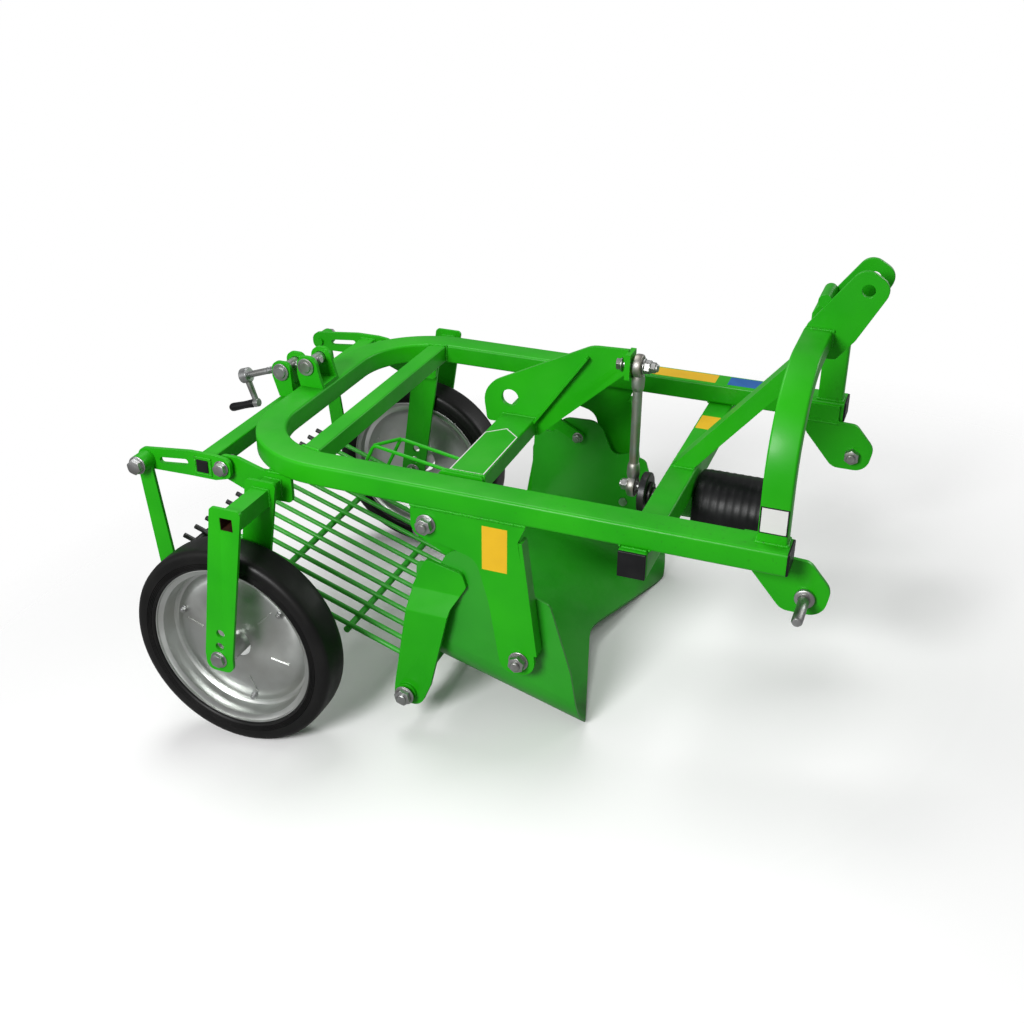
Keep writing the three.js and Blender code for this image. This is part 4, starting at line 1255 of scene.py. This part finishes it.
@dataclass
class SideLegs:
    """The plates that carry the rocker and the share."""

    face: float = 408.8
    rocker_pivot: Flat = (-742.0, -89.0)
    share_pivot: Flat = (-533.0, -381.0)
    pin: float = 11.0

    def build(self) -> None:
        """Makes both leg plates with their pivots, seams and the blank label."""
        dress_sides(1.1, "front_leg")
        bolts = Ironmonger(Body.FRAME, "leg_pivot")
        for side in SIDES:
            bolts.add(Fastener(*self.rocker_pivot, side, self.face, inner=317, radius=self.pin),
                      Fastener(*self.share_pivot, side, self.face, inner=360, radius=self.pin))
        bolts.deliver([f"{node}_{side}" for node in ("rocker_pivot_pin", "share_pivot_pin")
                       for side in ("right", "left")])
        rings = Drawing()
        for side in SIDES:
            rings.turned(ringed([(0, 11.6), (0, 20), (1.6, 20), (2.4, 19), (2.4, 11.6)]),
                         off(self.rocker_pivot, side * (self.face - 12.6)), (0, side, 0))
        Piece("rocker_pivot_rings", ENAMEL, Body.FRAME, bevel=0.3).make(rings)
        sticker("yellow_leg_label", YELLOW, Body.FRAME, (-616, -409.2, -170), (-560, -408.6, -67))
        outer, inner, edge = self.face - 1, self.face - 10, self.face - 11
        Welds(Body.FRAME, "side_leg", radius=4.6).both(
            [(-776, outer, -50.5), (-522, outer, -50.5)], [(-776, inner, -50.5), (-522, inner, -50.5)],
            [(-499, edge, -345), (-534, edge, -105)]).deliver(7)


@dataclass
class WheelSet:
    """Both depth wheels with their forks and axles."""

    axle: Flat = (-1180.0, -438.0)
    radius: float = 249.0
    rim: float = 200.0
    middle: float = 491.0
    half: float = 45.0
    fork_top: Flat = (-1122.0, -85.0)
    fork_face: float = 575.0
    fork_inner: float = 429.0
    stub: float = 20.0
    stub_inside: float = 14.8
    slits: int = 6
    bolts: int = 3
    bolt_circle: float = 150.0

    def build(self) -> None:
        """Makes both wheels, their forks, brackets and axles."""
        for side, label, body in ((-1, "right", Body.WHEEL_RIGHT), (1, "left", Body.WHEEL_LEFT)):
            self.tyre(side, label, body)
            self.disc(side, label, body)
            dress(f"wheel_fork_{label}", ENAMEL, 1.1)
            dress(f"fork_bracket_{label}", ENAMEL, 1.1)
        bolts = Ironmonger(Body.FRAME, "axle")
        for side in SIDES:
            bolts.add(Fastener(*self.axle, side, self.fork_face, inner=419, radius=10, head=Head.BOLT,
                               tail=self.fork_inner, tall=0.7))
        bolts.deliver(["wheel_axle_right", "wheel_axle_left"])
        self.rust()
        x, z = self.fork_top
        Welds(Body.FRAME, "fork", radius=3.4).square(
            x, z, self.stub, self.fork_inner - 0.5, 437.5, 566.5, 387).both(
            [(-1134, 376, -50.5), (-1078, 376, -50.5)],
            [(-1130, 386, -50.5), (-1078, 386, -50.5)]).deliver(11)

    def tyre(self, side: int, label: str, body: Body) -> None:
        """Makes one solid rubber tyre with its moulded rings.

        Args:
            side: -1 right or 1 left.
            label: The name of that side.
            body: The wheel that it rides on.
        """
        half, top, seat = self.half, self.radius, self.rim + 0.3
        flank = [(half - 5, seat), (half - 2.5, seat + 2), (half - 0.8, seat + 5)]
        for ring in (7, 10.5, 14, 17.5):
            flank += [(half - 0.4, seat + ring - 1), (half - 2.0, seat + ring), (half - 0.2, seat + ring + 1)]
        flank += [(half, seat + 26), (half - 0.6, top - 14),
                 (half - 3.5, top - 6.5), (half - 9.5, top - 2), (half - 18, top - 0.5), (half - 30, top)]
        profile = flank + [(-along, radius) for along, radius in reversed(flank)]
        drawing = Drawing().turned(ringed(profile), off(self.axle, side * self.middle), (0, side, 0), 120)
        Piece(f"tyre_{label}_rubber", RUBBER, body, [f"tyre_{label}"], smooth=40).make(drawing)

    def disc(self, side: int, label: str, body: Body) -> None:
        """Makes one pressed rim with its disc, hub, slits and bolts.

        Args:
            side: -1 right or 1 left.
            label: The name of that side.
            body: The wheel that it rides on.
        """
        rim = self.rim
        at = off(self.axle, side * self.middle)
        out = [(38, rim), (38.6, rim - 1.5), (38, rim - 3), (34, rim - 4), (31, rim - 9), (29, rim - 15),
               (24, rim - 17), (4, rim - 18.5), (-6, rim - 20), (-10, rim - 24), (-10.5, rim - 30),
               (-7, 165), (-2, 158), (3, 148), (8, 120), (11.5, 90), (13.5, 66), (14, 44), (13, 36)]
        back = [(along - 3.2, radius - (1.2 if radius > rim - 22 else 0))
                for along, radius in reversed(out[9:])]
        barrel = [(-14, rim - 17), (-24, rim - 15), (-29, rim - 13), (-31, rim - 8), (-34, rim - 4),
                  (-38, rim - 3), (-38.6, rim - 1.5), (-38, rim)]
        drawing = Drawing().turned(ringed(out + back + barrel), at, (0, side, 0), 144)
        drawing.turned(ringed([(-53, 10.6), (-53, 24), (-51, 26), (60, 26), (64, 24), (75, 22), (75, 10.6)]),
                       at, (0, side, 0), 64)
        Piece(f"rim_{label}_disc", GALVANISED, body, [f"rim_{label}"], smooth=30).make(drawing)
        ribs = Drawing()
        bolts = Ironmonger(body, f"rim_{label}")
        for i in range(self.slits):
            turn = math.radians(360 / self.slits * i + 14)
            ribs.bar((46, 3.6, 2.6), Matrix.Translation(at) @ Matrix.Rotation(turn, 4, "Y")
                     @ Matrix.Translation((112, side * 9.6, 0)) @ Matrix.Rotation(-side * 0.12, 4, "Z"))
        for i in range(self.bolts):
            turn = math.radians(360 / self.bolts * i + 40)
            spot = Vector(at) + Vector((math.cos(turn) * self.bolt_circle, side * 4,
                                        math.sin(turn) * self.bolt_circle))
            bolts.put(Head.NUT, tuple(spot), (0, side, 0), 4.2)
            bolts.shanks.turned([(-6, 0), (-6, 4), (1, 4), (1, 0)], tuple(spot), (0, side, 0), 16)
        Piece(f"rim_{label}_ribs", GALVANISED, body, bevel=0.9).make(ribs)
        bolts.deliver([])

    def rust(self) -> None:
        """Makes the rusted lining of each fork's open stub tube."""
        drawing = Drawing()
        x, z = self.fork_top
        inside, wall = self.stub_inside, 0.8
        bottom, mouth = 516, self.fork_face - 1
        for side in SIDES:
            for dx, dz in ((1, 0), (-1, 0), (0, 1), (0, -1)):
                drawing.block((x + (inside - wall if dx > 0 else -inside), side * bottom,
                               z + (inside - wall if dz > 0 else -inside)),
                              (x + (wall - inside if dx < 0 else inside), side * mouth,
                               z + (wall - inside if dz < 0 else inside)))
            drawing.block((x - inside + wall, side * bottom, z - inside + wall),
                          (x + inside - wall, side * (bottom + 2), z + inside - wall))
        Piece("stub_tube_linings", RUST, Body.FRAME).make(drawing)


@dataclass
class DriveLine:
    """The bearing housing, the guard, the splined shaft and the crank disc."""

    z: float = -146.6
    guard_radius: float = 80.0
    guard_rear: float = -258.0
    guard_front: float = -75.0
    shaft_front: float = -80.0
    crank_face: float = -390.0
    spline_root: float = 14.6
    spline_top: float = 17.3
    spline_faces: int = 6

    def build(self) -> None:
        """Makes the drive line."""
        housing = Drawing()
        housing.turned(ringed([(0, 18.2), (0, 33), (2, 35), (6, 36), (104, 36), (108, 35), (110, 33),
                               (110, 18.2)]), (-347, 0, self.z), (1, 0, 0), 64)
        housing.block((-323, -44, -152.6), (-263, 44, -110.7))
        Piece("bearing_barrel", SHADED, Body.FRAME, ["bearing_housing"], bevel=1.5).make(housing)
        radius = self.guard_radius
        length = self.guard_front - self.guard_rear
        rings: list[Flat] = []
        for i in range(9):
            start = 14 + i * (length - 30) / 9
            rings += [(start, radius - 0.8), (start + 3, radius - 0.2), (start + 7, radius - 0.2),
                      (start + 10, radius - 0.8)]
        outer = ringed([(0, 36.5), (0, radius - 6), (3, radius - 2.4), *rings,
                        (length - 6, radius - 1), (length - 1, radius), (length, radius - 1),
                        (length, radius - 4.5), (length - 8, radius - 5), (5, radius - 6.5),
                        (4, radius - 9), (4, 36.5)])
        Piece("guard_bell", PLASTIC, Body.FRAME, ["shaft_guard"]).make(
            Drawing().turned(outer, (self.guard_rear, 0, self.z), (1, 0, 0), 96))
        self.shaft()

    def shaft(self) -> None:
        """Makes the splined input shaft and the crank disc behind it."""
        sides = 72
        length = self.shaft_front - self.crank_face
        rings: list[list[Point]] = []
        for along, splined in ((16, False), (length - 78, False), (length - 76, True), (length - 3, True),
                               (length, True)):
            chamfer = 1.5 if along == length else 0.0
            rings.append([])
            for i in range(sides):
                turn = 2 * math.pi * i / sides
                groove = splined and (i // self.spline_faces) % 2
                reach = (self.spline_root if groove else self.spline_top) - chamfer
                rings[-1].append((along, reach * math.cos(turn), reach * math.sin(turn)))
        drawing = Drawing().loft(rings, Matrix.Translation((self.crank_face, 0, self.z)))
        face = (self.crank_face, 0, self.z)
        drawing.turned([(0, 0), (0, 47), (2, 50), (16, 50), (18, 47), (18, 0)], face, (1, 0, 0), 72)
        drawing.turned(ringed([(17, 17), (17, 27), (19, 29), (24, 29), (26, 27), (26, 17)]),
                       face, (1, 0, 0), 48)
        Piece("crank_shaft", OILED_STEEL, Body.SHAFT, ["input_shaft"], bevel=0.8, segments=2).make(
            drawing)


@dataclass
class RockerGear:
    """The rocker, the connecting rod that shakes it and the links that it shakes the share with."""

    eye: Flat = (-412.0, 162.0)
    crank_pin_z: float = -131.6
    link_pin: Flat = (-785.0, -140.0)
    lug_front: float = -425.95
    cheek_face: float = 331.05

    def build(self) -> None:
        """Makes the rocker, rod and links."""
        dress("rocker_tube", ENAMEL, 5.0, 4)
        dress("rocker_arm", ENAMEL, 1.3, trims=[((self.lug_front, 0, 0), (1, 0, 0))])
        for side, label in HANDS:
            dress(f"rocker_cheek_{label}", ENAMEL, 1.0,
                  trims=[((0, side * self.cheek_face, 0), (0, side, 0))])
            dress(f"link_bar_{label}", ENAMEL, 1.0)
        self.arm_bolt()
        self.rod()
        self.rib()
        self.name_plate()
        self.wire_guard()
        pins = Ironmonger(Body.ROCKER, "link_pin")
        for side in SIDES:
            pins.add(Fastener(*self.link_pin, side, face=354.4, inner=322, radius=7, head=Head.BOLT))
        pins.deliver([])
        welds = Welds(Body.ROCKER, "rocker", radius=3.4)
        for y in (-6.5, 6.5):
            welds.paths.append([(-646, y, -40), (-646, y, 0), (-730, y, 0), (-730, y, -22)])
        welds.both([(-730, 320.5, -1), (-646, 320.5, -1), (-646, 320.5, -41), (-730, 320.5, -41)])
        welds.deliver(13)

    def arm_bolt(self) -> None:
        """Makes the bolt that carries the rod's upper eye."""
        x, z = self.eye
        nuts = Ironmonger(Body.ROCKER, "rod_bolt")
        nuts.shanks.turned([(0, 0), (0, 8), (1, 9), (86, 9), (88, 7.5), (88, 0)],
                           (x - 44, 0, z), (1, 0, 0), 28)
        nuts.put(Head.BOLT, (x - 35, 0, z), (-1, 0, 0), 9)
        nuts.put(Head.NUT, (x + 11, 0, z), (1, 0, 0), 9)
        nuts.put(Head.NUT, (x + 25, 0, z), (1, 0, 0), 7.4)
        nuts.deliver([])

    def rod(self) -> None:
        """Makes the rod with its two bearing eyes and lock nuts."""
        x, top = self.eye
        drawing = Drawing()
        for z in (top, self.crank_pin_z):
            drawing.turned(ringed(mirrored([(7, 12), (9.4, 18), (9.6, 22), (8, 25), (4, 26.4)])),
                           (x, 0, z), (1, 0, 0), 56)
        low = self.crank_pin_z
        neck = [(20, 0), (21, 13), (30, 15), (48, 14.2), (56, 12.6), (58, 10.8)]
        drawing.turned(neck + [(top - low - along, radius) for along, radius in reversed(neck)],
                       (x, 0, low), (0, 0, 1), 32)
        Piece("rod_body", ROD_ZINC, Body.ROD, ["connecting_rod"], bevel=0.6, segments=2).make(
            drawing)
        balls = Drawing()
        for z in (top, low):
            balls.turned(ringed([(-10.5, 9.6), (-10.5, 11.5), (-6, 13.2), (0, 14), (6, 13.2), (10.5, 11.5),
                                 (10.5, 9.6)]), (x, 0, z), (1, 0, 0), 40)
        Piece("rod_eye_balls", ZINC, Body.ROD).make(balls)
        nuts = Ironmonger(Body.ROD, "rod")
        nuts.shanks.turned([(0, 0), (0, 8), (1, 9), (36, 9), (36.4, 8.6), (36.4, 0)],
                           (x - 16, 0, low), (1, 0, 0), 28)
        nuts.put(Head.NUT, (x - 10.5, 0, low), (-1, 0, 0), 8)
        nuts.deliver([])

    def name_plate(self) -> None:
        """Makes the blank pointed plate on top of the rocker tube: a thin pale line round bare paint."""
        outline = [(-727, -318), (-727, -120), (-688, -84), (-649, -120), (-649, -318)]
        inside = [(-724.5, -315.5), (-724.5, -121), (-688, -87.4), (-651.5, -121), (-651.5, -315.5)]
        rings = [[(x, y, z) for x, y in ring]
                 for ring, z in ((outline, -0.1), (outline, 0.35), (inside, 0.35), (inside, -0.1))]
        Piece("rocker_plate_line", WHITE, Body.ROCKER).make(Drawing().loft(rings, closed=True))

    def wire_guard(self) -> None:
        """Makes the bent wires that keep haulm off the sieve, behind the rocker tube."""
        paths = [[(-729, -312, -9), (-925, -279, 2), (-975, -268, -95)],
                 [(-729, -252, -9), (-885, -226, 2), (-935, -214, -95)],
                 [(-925, -279, 2), (-885, -226, 2)]]
        grown = round_wire().grow(polyline(paths), ENAMEL, {"Radius": 4.0, "Bend": 16.0})
        Piece("wire_guard", ENAMEL, Body.ROCKER, smooth=60).make(Drawing().grown(grown))

    def rib(self) -> None:
        """Makes the thin stiffening rib along the arm's near face."""
        start, end = Vector((-650, -16.3, -10)), Vector((-524, -16.3, 170))
        along = end - start
        turn = Matrix.Rotation(-math.atan2(along.z, along.x), 4, "Y")
        Piece("rocker_arm_rib", ENAMEL, Body.ROCKER, bevel=1.2).make(
            Drawing().bar((along.length, 20, 6), Matrix.Translation((start + end) / 2) @ turn))


@dataclass
class DiggingShare:
    """The rolled trough that lifts the row, with the straps that carry the sieve."""

    sieve_pin: Flat = (-803.0, -538.0)
    ear_pin: Flat = (-658.0, -206.0)
    link_face: float = 345.6

    def build(self) -> None:
        """Makes the share and its straps."""
        Piece("share_trough", SHARE_PAINT, Body.SHARE, ["share_shell"], bevel=0.9).make(
            Drawing().node("share_shell"))
        dress_sides(1.1, "share_strap")
        ears = Ironmonger(Body.SHARE, "share_ear")
        for side in SIDES:
            at = off(self.ear_pin, side * self.link_face)
            ears.put(Head.NUT, at, (0, -side, 0), 7)
            ears.shanks.turned([(0, 0), (0, 6), (3, 6), (3, 0)], at, (0, -side, 0), 20)
        ears.deliver([])
        bolts = Ironmonger(Body.SIEVE, "sieve_pivot")
        for side in SIDES:
            bolts.put(Head.NUT, off(self.sieve_pin, side * 421), (0, side, 0), 11.4, tall=0.7)
            bolts.shanks.turned([(0, 0), (0, 9), (12, 9), (12, 0)], off(self.sieve_pin, side * 412),
                                (0, side, 0), 24)
        bolts.deliver([])


@dataclass
class RodSieve:
    """The sieve of parallel rods on two hinged cross rods."""

    front: Flat = (-803.0, -538.0)
    rear: Flat = (-1405.0, -332.0)
    count: int = 15
    pitch: float = 46.0
    radius: float = 6.0
    tail: float = 30.0
    front_rod: float = 15.0
    rear_rod: float = 12.0
    cross_at: Flat = (0.33, 0.68)

    def build(self) -> None:
        """Makes the rods and their cross rods."""
        run = Vector(self.front) - Vector(self.rear)
        back = Vector(off(self.rear, 0))
        weld = self.radius - 2
        rise = (self.front_rod - self.rear_rod) / run.length
        length = run.length + 12 + self.tail
        grown = rod_row().grow(bpy.data.meshes.new("seed"), ROD_PAINT, {
            "Count": self.count, "Pitch": self.pitch, "Length": length, "Radius": self.radius})
        slope = Matrix.Rotation(-math.atan2(run.y, run.x), 4, "Y")
        tilt = Matrix.Rotation(-math.atan(rise), 4, "Y")
        place = (Matrix.Translation(back) @ slope
                 @ Matrix.Translation((-self.tail, 0, self.rear_rod + weld - rise * self.tail)) @ tilt)
        drawing = Drawing().grown(grown, place)
        for spot, radius, end in ((self.front, self.front_rod, 420.8), (self.rear, self.rear_rod, 410.8)):
            drawing.turned(mirrored([(end, 0), (end, radius - 1), (end - 1, radius)]), off(spot, 0),
                           (0, 1, 0), 28)
        for share in self.cross_at:
            distance = run.length * share
            above = self.rear_rod + rise * distance - 7
            at = slope @ Vector((distance, 0, above)) + back
            drawing.turned(mirrored([(332, 0), (332, 7), (331, 8)]), tuple(at), (0, 1, 0), 20)
        Piece("sieve_rods", ROD_PAINT, Body.SIEVE, ["sieve_grid"]).make(drawing)


@dataclass
class SlopeAdjuster:
    """The lift arms, the hangers and the hand crank that sets the sieve's slope."""

    lift_pivot: Flat = (-1240.0, -54.0)
    hanger_top: Flat = (-1438.0, -66.0)
    hanger_low: Flat = (-1405.0, -332.0)
    boss_end: float = 441.4
    tube_at: Flat = (-1288.0, -57.0)
    tube_end: float = 407.0
    cap: float = 15.0
    frame_trunnion: Flat = (-1227.0, 52.0)
    lift_trunnion: Flat = (-1298.0, 28.0)
    stub: float = 22.0
    reach: float = 136.0
    handle: float = 75.0

    def build(self) -> None:
        """Makes the adjuster."""
        dress("lift_tube", ENAMEL, 4.0, 4)
        dress("spindle_lugs", ENAMEL, 1.1)
        dress("lift_lugs", ENAMEL, 1.1)
        dress_sides(1.0, "lift_arm")
        self.hangers()
        self.trunnions()
        self.spindle()
        caps = Drawing()
        x, z = self.tube_at
        for side in SIDES:
            caps.block((x - self.cap, side * (self.tube_end - 2), z - self.cap),
                       (x + self.cap, side * (self.tube_end + 3), z + self.cap))
        Piece("lift_tube_caps", PLASTIC, Body.LIFT, bevel=1.6).make(caps)
        bolts = Ironmonger(Body.FRAME, "lift_pivot")
        for side in SIDES:
            bolts.add(Fastener(*self.lift_pivot, side, face=405.6, inner=366, radius=9, head=Head.BOLT,
                               tail=375))
        bolts.deliver(["lift_pivot_pin_right", "lift_pivot_pin_left"])
        Welds(Body.LIFT, "lift", radius=3.2).square(x, z, 20, 394.5, 405.5).deliver(17)

    def hangers(self) -> None:
        """Makes the two hangers with their bosses and bolts."""
        bolts = Ironmonger(Body.HANGERS, "hanger")
        for side, label in HANDS:
            dress(f"hanger_{label}", ENAMEL, 1.2, trims=[((0, side * self.boss_end, 0), (0, side, 0))])
            bolts.put(Head.BOLT, off(self.hanger_top, side * self.boss_end), (0, side, 0), 10.6)
            bolts.put(Head.BOLT, off(self.hanger_low, side * 419.4), (0, side, 0), 7.0)
            bolts.shanks.turned([(0, 0), (0, 8), (4, 8), (4, 0)], off(self.hanger_top, side * 439),
                                (0, side, 0), 20)
        bolts.deliver([])

    def trunnions(self) -> None:
        """Makes the two trunnions that the spindle runs through."""
        for spot, body, node in ((self.frame_trunnion, Body.SPINDLE, "frame_trunnion"),
                                 (self.lift_trunnion, Body.LIFT, "lift_trunnion")):
            drawing = Drawing().turned(mirrored([
                (48, 0), (48, 13), (46, 15), (41, 15), (40.5, 13.5), (29, 13.5), (28, 15)]),
                off(spot, 0), (0, 1, 0), 40)
            for side in SIDES:
                drawing.turned([(0, 0), (0, 21), (1, 22), (3, 22), (4, 21), (4, 0)],
                               off(spot, side * 41), (0, side, 0), 40)
            Piece(f"{node}_barrel", ZINC, body, [node], bevel=0.5, segments=2).make(drawing)

    def spindle(self) -> None:
        """Makes the threaded spindle, its crank and grip."""
        near, far = Vector(off(self.frame_trunnion, 0)), Vector(off(self.lift_trunnion, 0))
        span = (far - near).length
        away = (far - near) / span
        start = near - away * self.stub
        total = self.stub + span + self.reach
        drawing = Drawing().turned([(0, 0), (0, 7.5), (1, 8.2), (total + 8, 8.2), (total + 8, 0)],
                                   tuple(start), tuple(away), 28)
        hub = start + away * total
        down = Vector((away.z, 0, -away.x))
        if down.z > 0:
            down = -down
        drawing.turned(mirrored([(12, 0), (12, 17), (10, 19)]), tuple(hub), tuple(away), 40)
        knee = hub + down * self.handle
        drawing.turned([(10, 0), (10, 8.5), (self.handle - 6, 7.5), (self.handle - 6, 0)], tuple(hub),
                       tuple(down), 24)
        drawing.turned(mirrored([(8, 0), (8, 9), (6, 11)]), tuple(knee), tuple(away), 28)
        Piece("spindle_rod", ZINC, Body.SPINDLE, ["spindle_crank"], bevel=0.6, segments=2).make(
            drawing)
        thread = thread_helix().grow(bpy.data.meshes.new("seed"), ZINC, {
            "Turns": 44.0, "Length": span + 20 + 66, "Radius": 8.1, "Crest": 0.9})
        Piece("spindle_thread", ZINC, Body.SPINDLE, smooth=60).make(
            Drawing().grown(thread, aimed(start + away * 4, away)))
        grip = [(8, 0), (8, 7), (9.5, 9.5), (14, 10.8), (24, 10), (40, 9.6), (60, 10.4), (74, 11), (80, 10),
                (84, 7), (85, 0)]
        Piece("crank_grip_moulding", PLASTIC, Body.SPINDLE, ["crank_grip"]).make(
            Drawing().turned(grip, tuple(knee), tuple(away), 40))


# ------------------------ studio


@dataclass
class Studio:
    """Floor, world, lamps and camera."""

    lens: float = 43.63
    shift: Flat = (0.0125, -0.0456)
    eye: Point = (240.3, -2452.9, 1178.7)
    azimuth: float = 21.80
    elevation: float = 26.56
    ambient: float = 0.24
    floor_from: float = 0.95
    floor_to: float = 1.9
    floor_tone: float = 0.26
    floor_glint: float = 0.2
    lamps: Sequence[tuple[str, Point, float, float]] = (
        ("key", (-0.4, -3.6, 2.5), 1.5, 130.0),
        ("top", (-0.9, 0.8, 3.6), 2.0, 50.0),
        ("fill", (-3.2, -2.4, 1.6), 2.4, 8.0),
        ("back", (2.6, 2.6, 1.9), 2.0, 40.0),
    )

    def build(self) -> None:
        """Sets the stage and the camera."""
        self.floor()
        self.world()
        for name, place, size, power in self.lamps:
            data = bpy.data.lights.new(name, "AREA")
            data.shape = "DISK"
            data.size = size
            data.energy = power
            lamp = stand(name, data)
            lamp.location = place
            lamp.rotation_euler = (Vector((0, 0, 0.35)) - Vector(place)).to_track_quat("-Z", "Y").to_euler()
        self.camera()
        bpy.context.scene.view_settings.view_transform = "Standard"

    def camera(self) -> None:
        """Stands the camera where it sees the parked machine at the right angle."""
        data = bpy.data.cameras.new("camera")
        data.lens, data.sensor_width = self.lens, 36.0
        data.shift_x, data.shift_y = self.shift
        camera = stand("camera", data)
        turn, rise = math.radians(self.azimuth), math.radians(self.elevation)
        back = Vector((math.sin(turn) * math.cos(rise), -math.cos(turn) * math.cos(rise), math.sin(rise)))
        across = Vector((math.cos(turn), math.sin(turn), 0))
        upward = back.cross(across)
        level = Matrix((across, upward, back)).transposed().to_4x4()
        parked = LEVEL.to_3x3().normalized().to_4x4()
        camera.matrix_world = Matrix.Translation(LEVEL @ Vector(self.eye)) @ parked @ level
        bpy.context.scene.camera = camera

    def floor(self) -> None:
        """Lays a plain pale floor."""
        mesh = bpy.data.meshes.new("floor")
        size = 12.0
        mesh.from_pydata([(-size, -size, 0), (size, -size, 0), (size, size, 0), (-size, size, 0)], [],
                         [(0, 1, 2, 3)])
        floor = stand("floor", mesh)
        tree = Shader("pale_floor")
        seen = tree.add("ShaderNodeLightPath")
        glint = tree.math("MULTIPLY", seen.outputs["Is Glossy Ray"], self.floor_glint)
        looked = tree.math("MAXIMUM", seen.outputs["Is Camera Ray"], glint)
        colour = tree.mix(looked, (*[self.floor_tone] * 3, 1), (1, 1, 1, 1))
        skin = tree.out("ShaderNodeBsdfDiffuse", {"Color": colour})
        away = tree.add("ShaderNodeVectorMath", {0: tree.place}, operation="LENGTH").outputs["Value"]
        clear = tree.out("ShaderNodeBsdfTransparent")
        faded = tree.out("ShaderNodeMixShader", {
            0: tree.ramp(away, self.floor_from, self.floor_to), 1: skin, 2: clear})
        tree.add("ShaderNodeOutputMaterial", {"Surface": faded})
        mesh.materials.append(tree.material)

    def world(self) -> None:
        """Lights the room evenly and shows white behind the machine."""
        world = bpy.data.worlds.new("studio")
        world.use_nodes = True
        bpy.context.scene.world = world
        graph = Graph(world.node_tree)
        graph.tree.nodes.clear()
        seen = graph.add("ShaderNodeLightPath").outputs
        looked = graph.math("MAXIMUM", seen["Is Camera Ray"], seen["Is Transmission Ray"])
        dim = graph.out("ShaderNodeBackground", {"Color": (1, 1, 1, 1), "Strength": self.ambient})
        white = graph.out("ShaderNodeBackground", {"Color": (1, 1, 1, 1), "Strength": 1.0})
        both = graph.out("ShaderNodeMixShader", {0: looked, 1: dim, 2: white})
        graph.add("ShaderNodeOutputWorld", {"Surface": both})


def main() -> None:
    """Builds the machine, then its studio."""
    logging.basicConfig(level=logging.INFO, format="%(message)s")
    for assembly in (RailLoop(), HitchMast(), SideLegs(), WheelSet(), DriveLine(), RockerGear(),
                     DiggingShare(), RodSieve(), SlopeAdjuster(), Studio()):
        LOG.info("building %s", type(assembly).__name__)
        assembly.build()


if __name__ == "__main__":
    main()
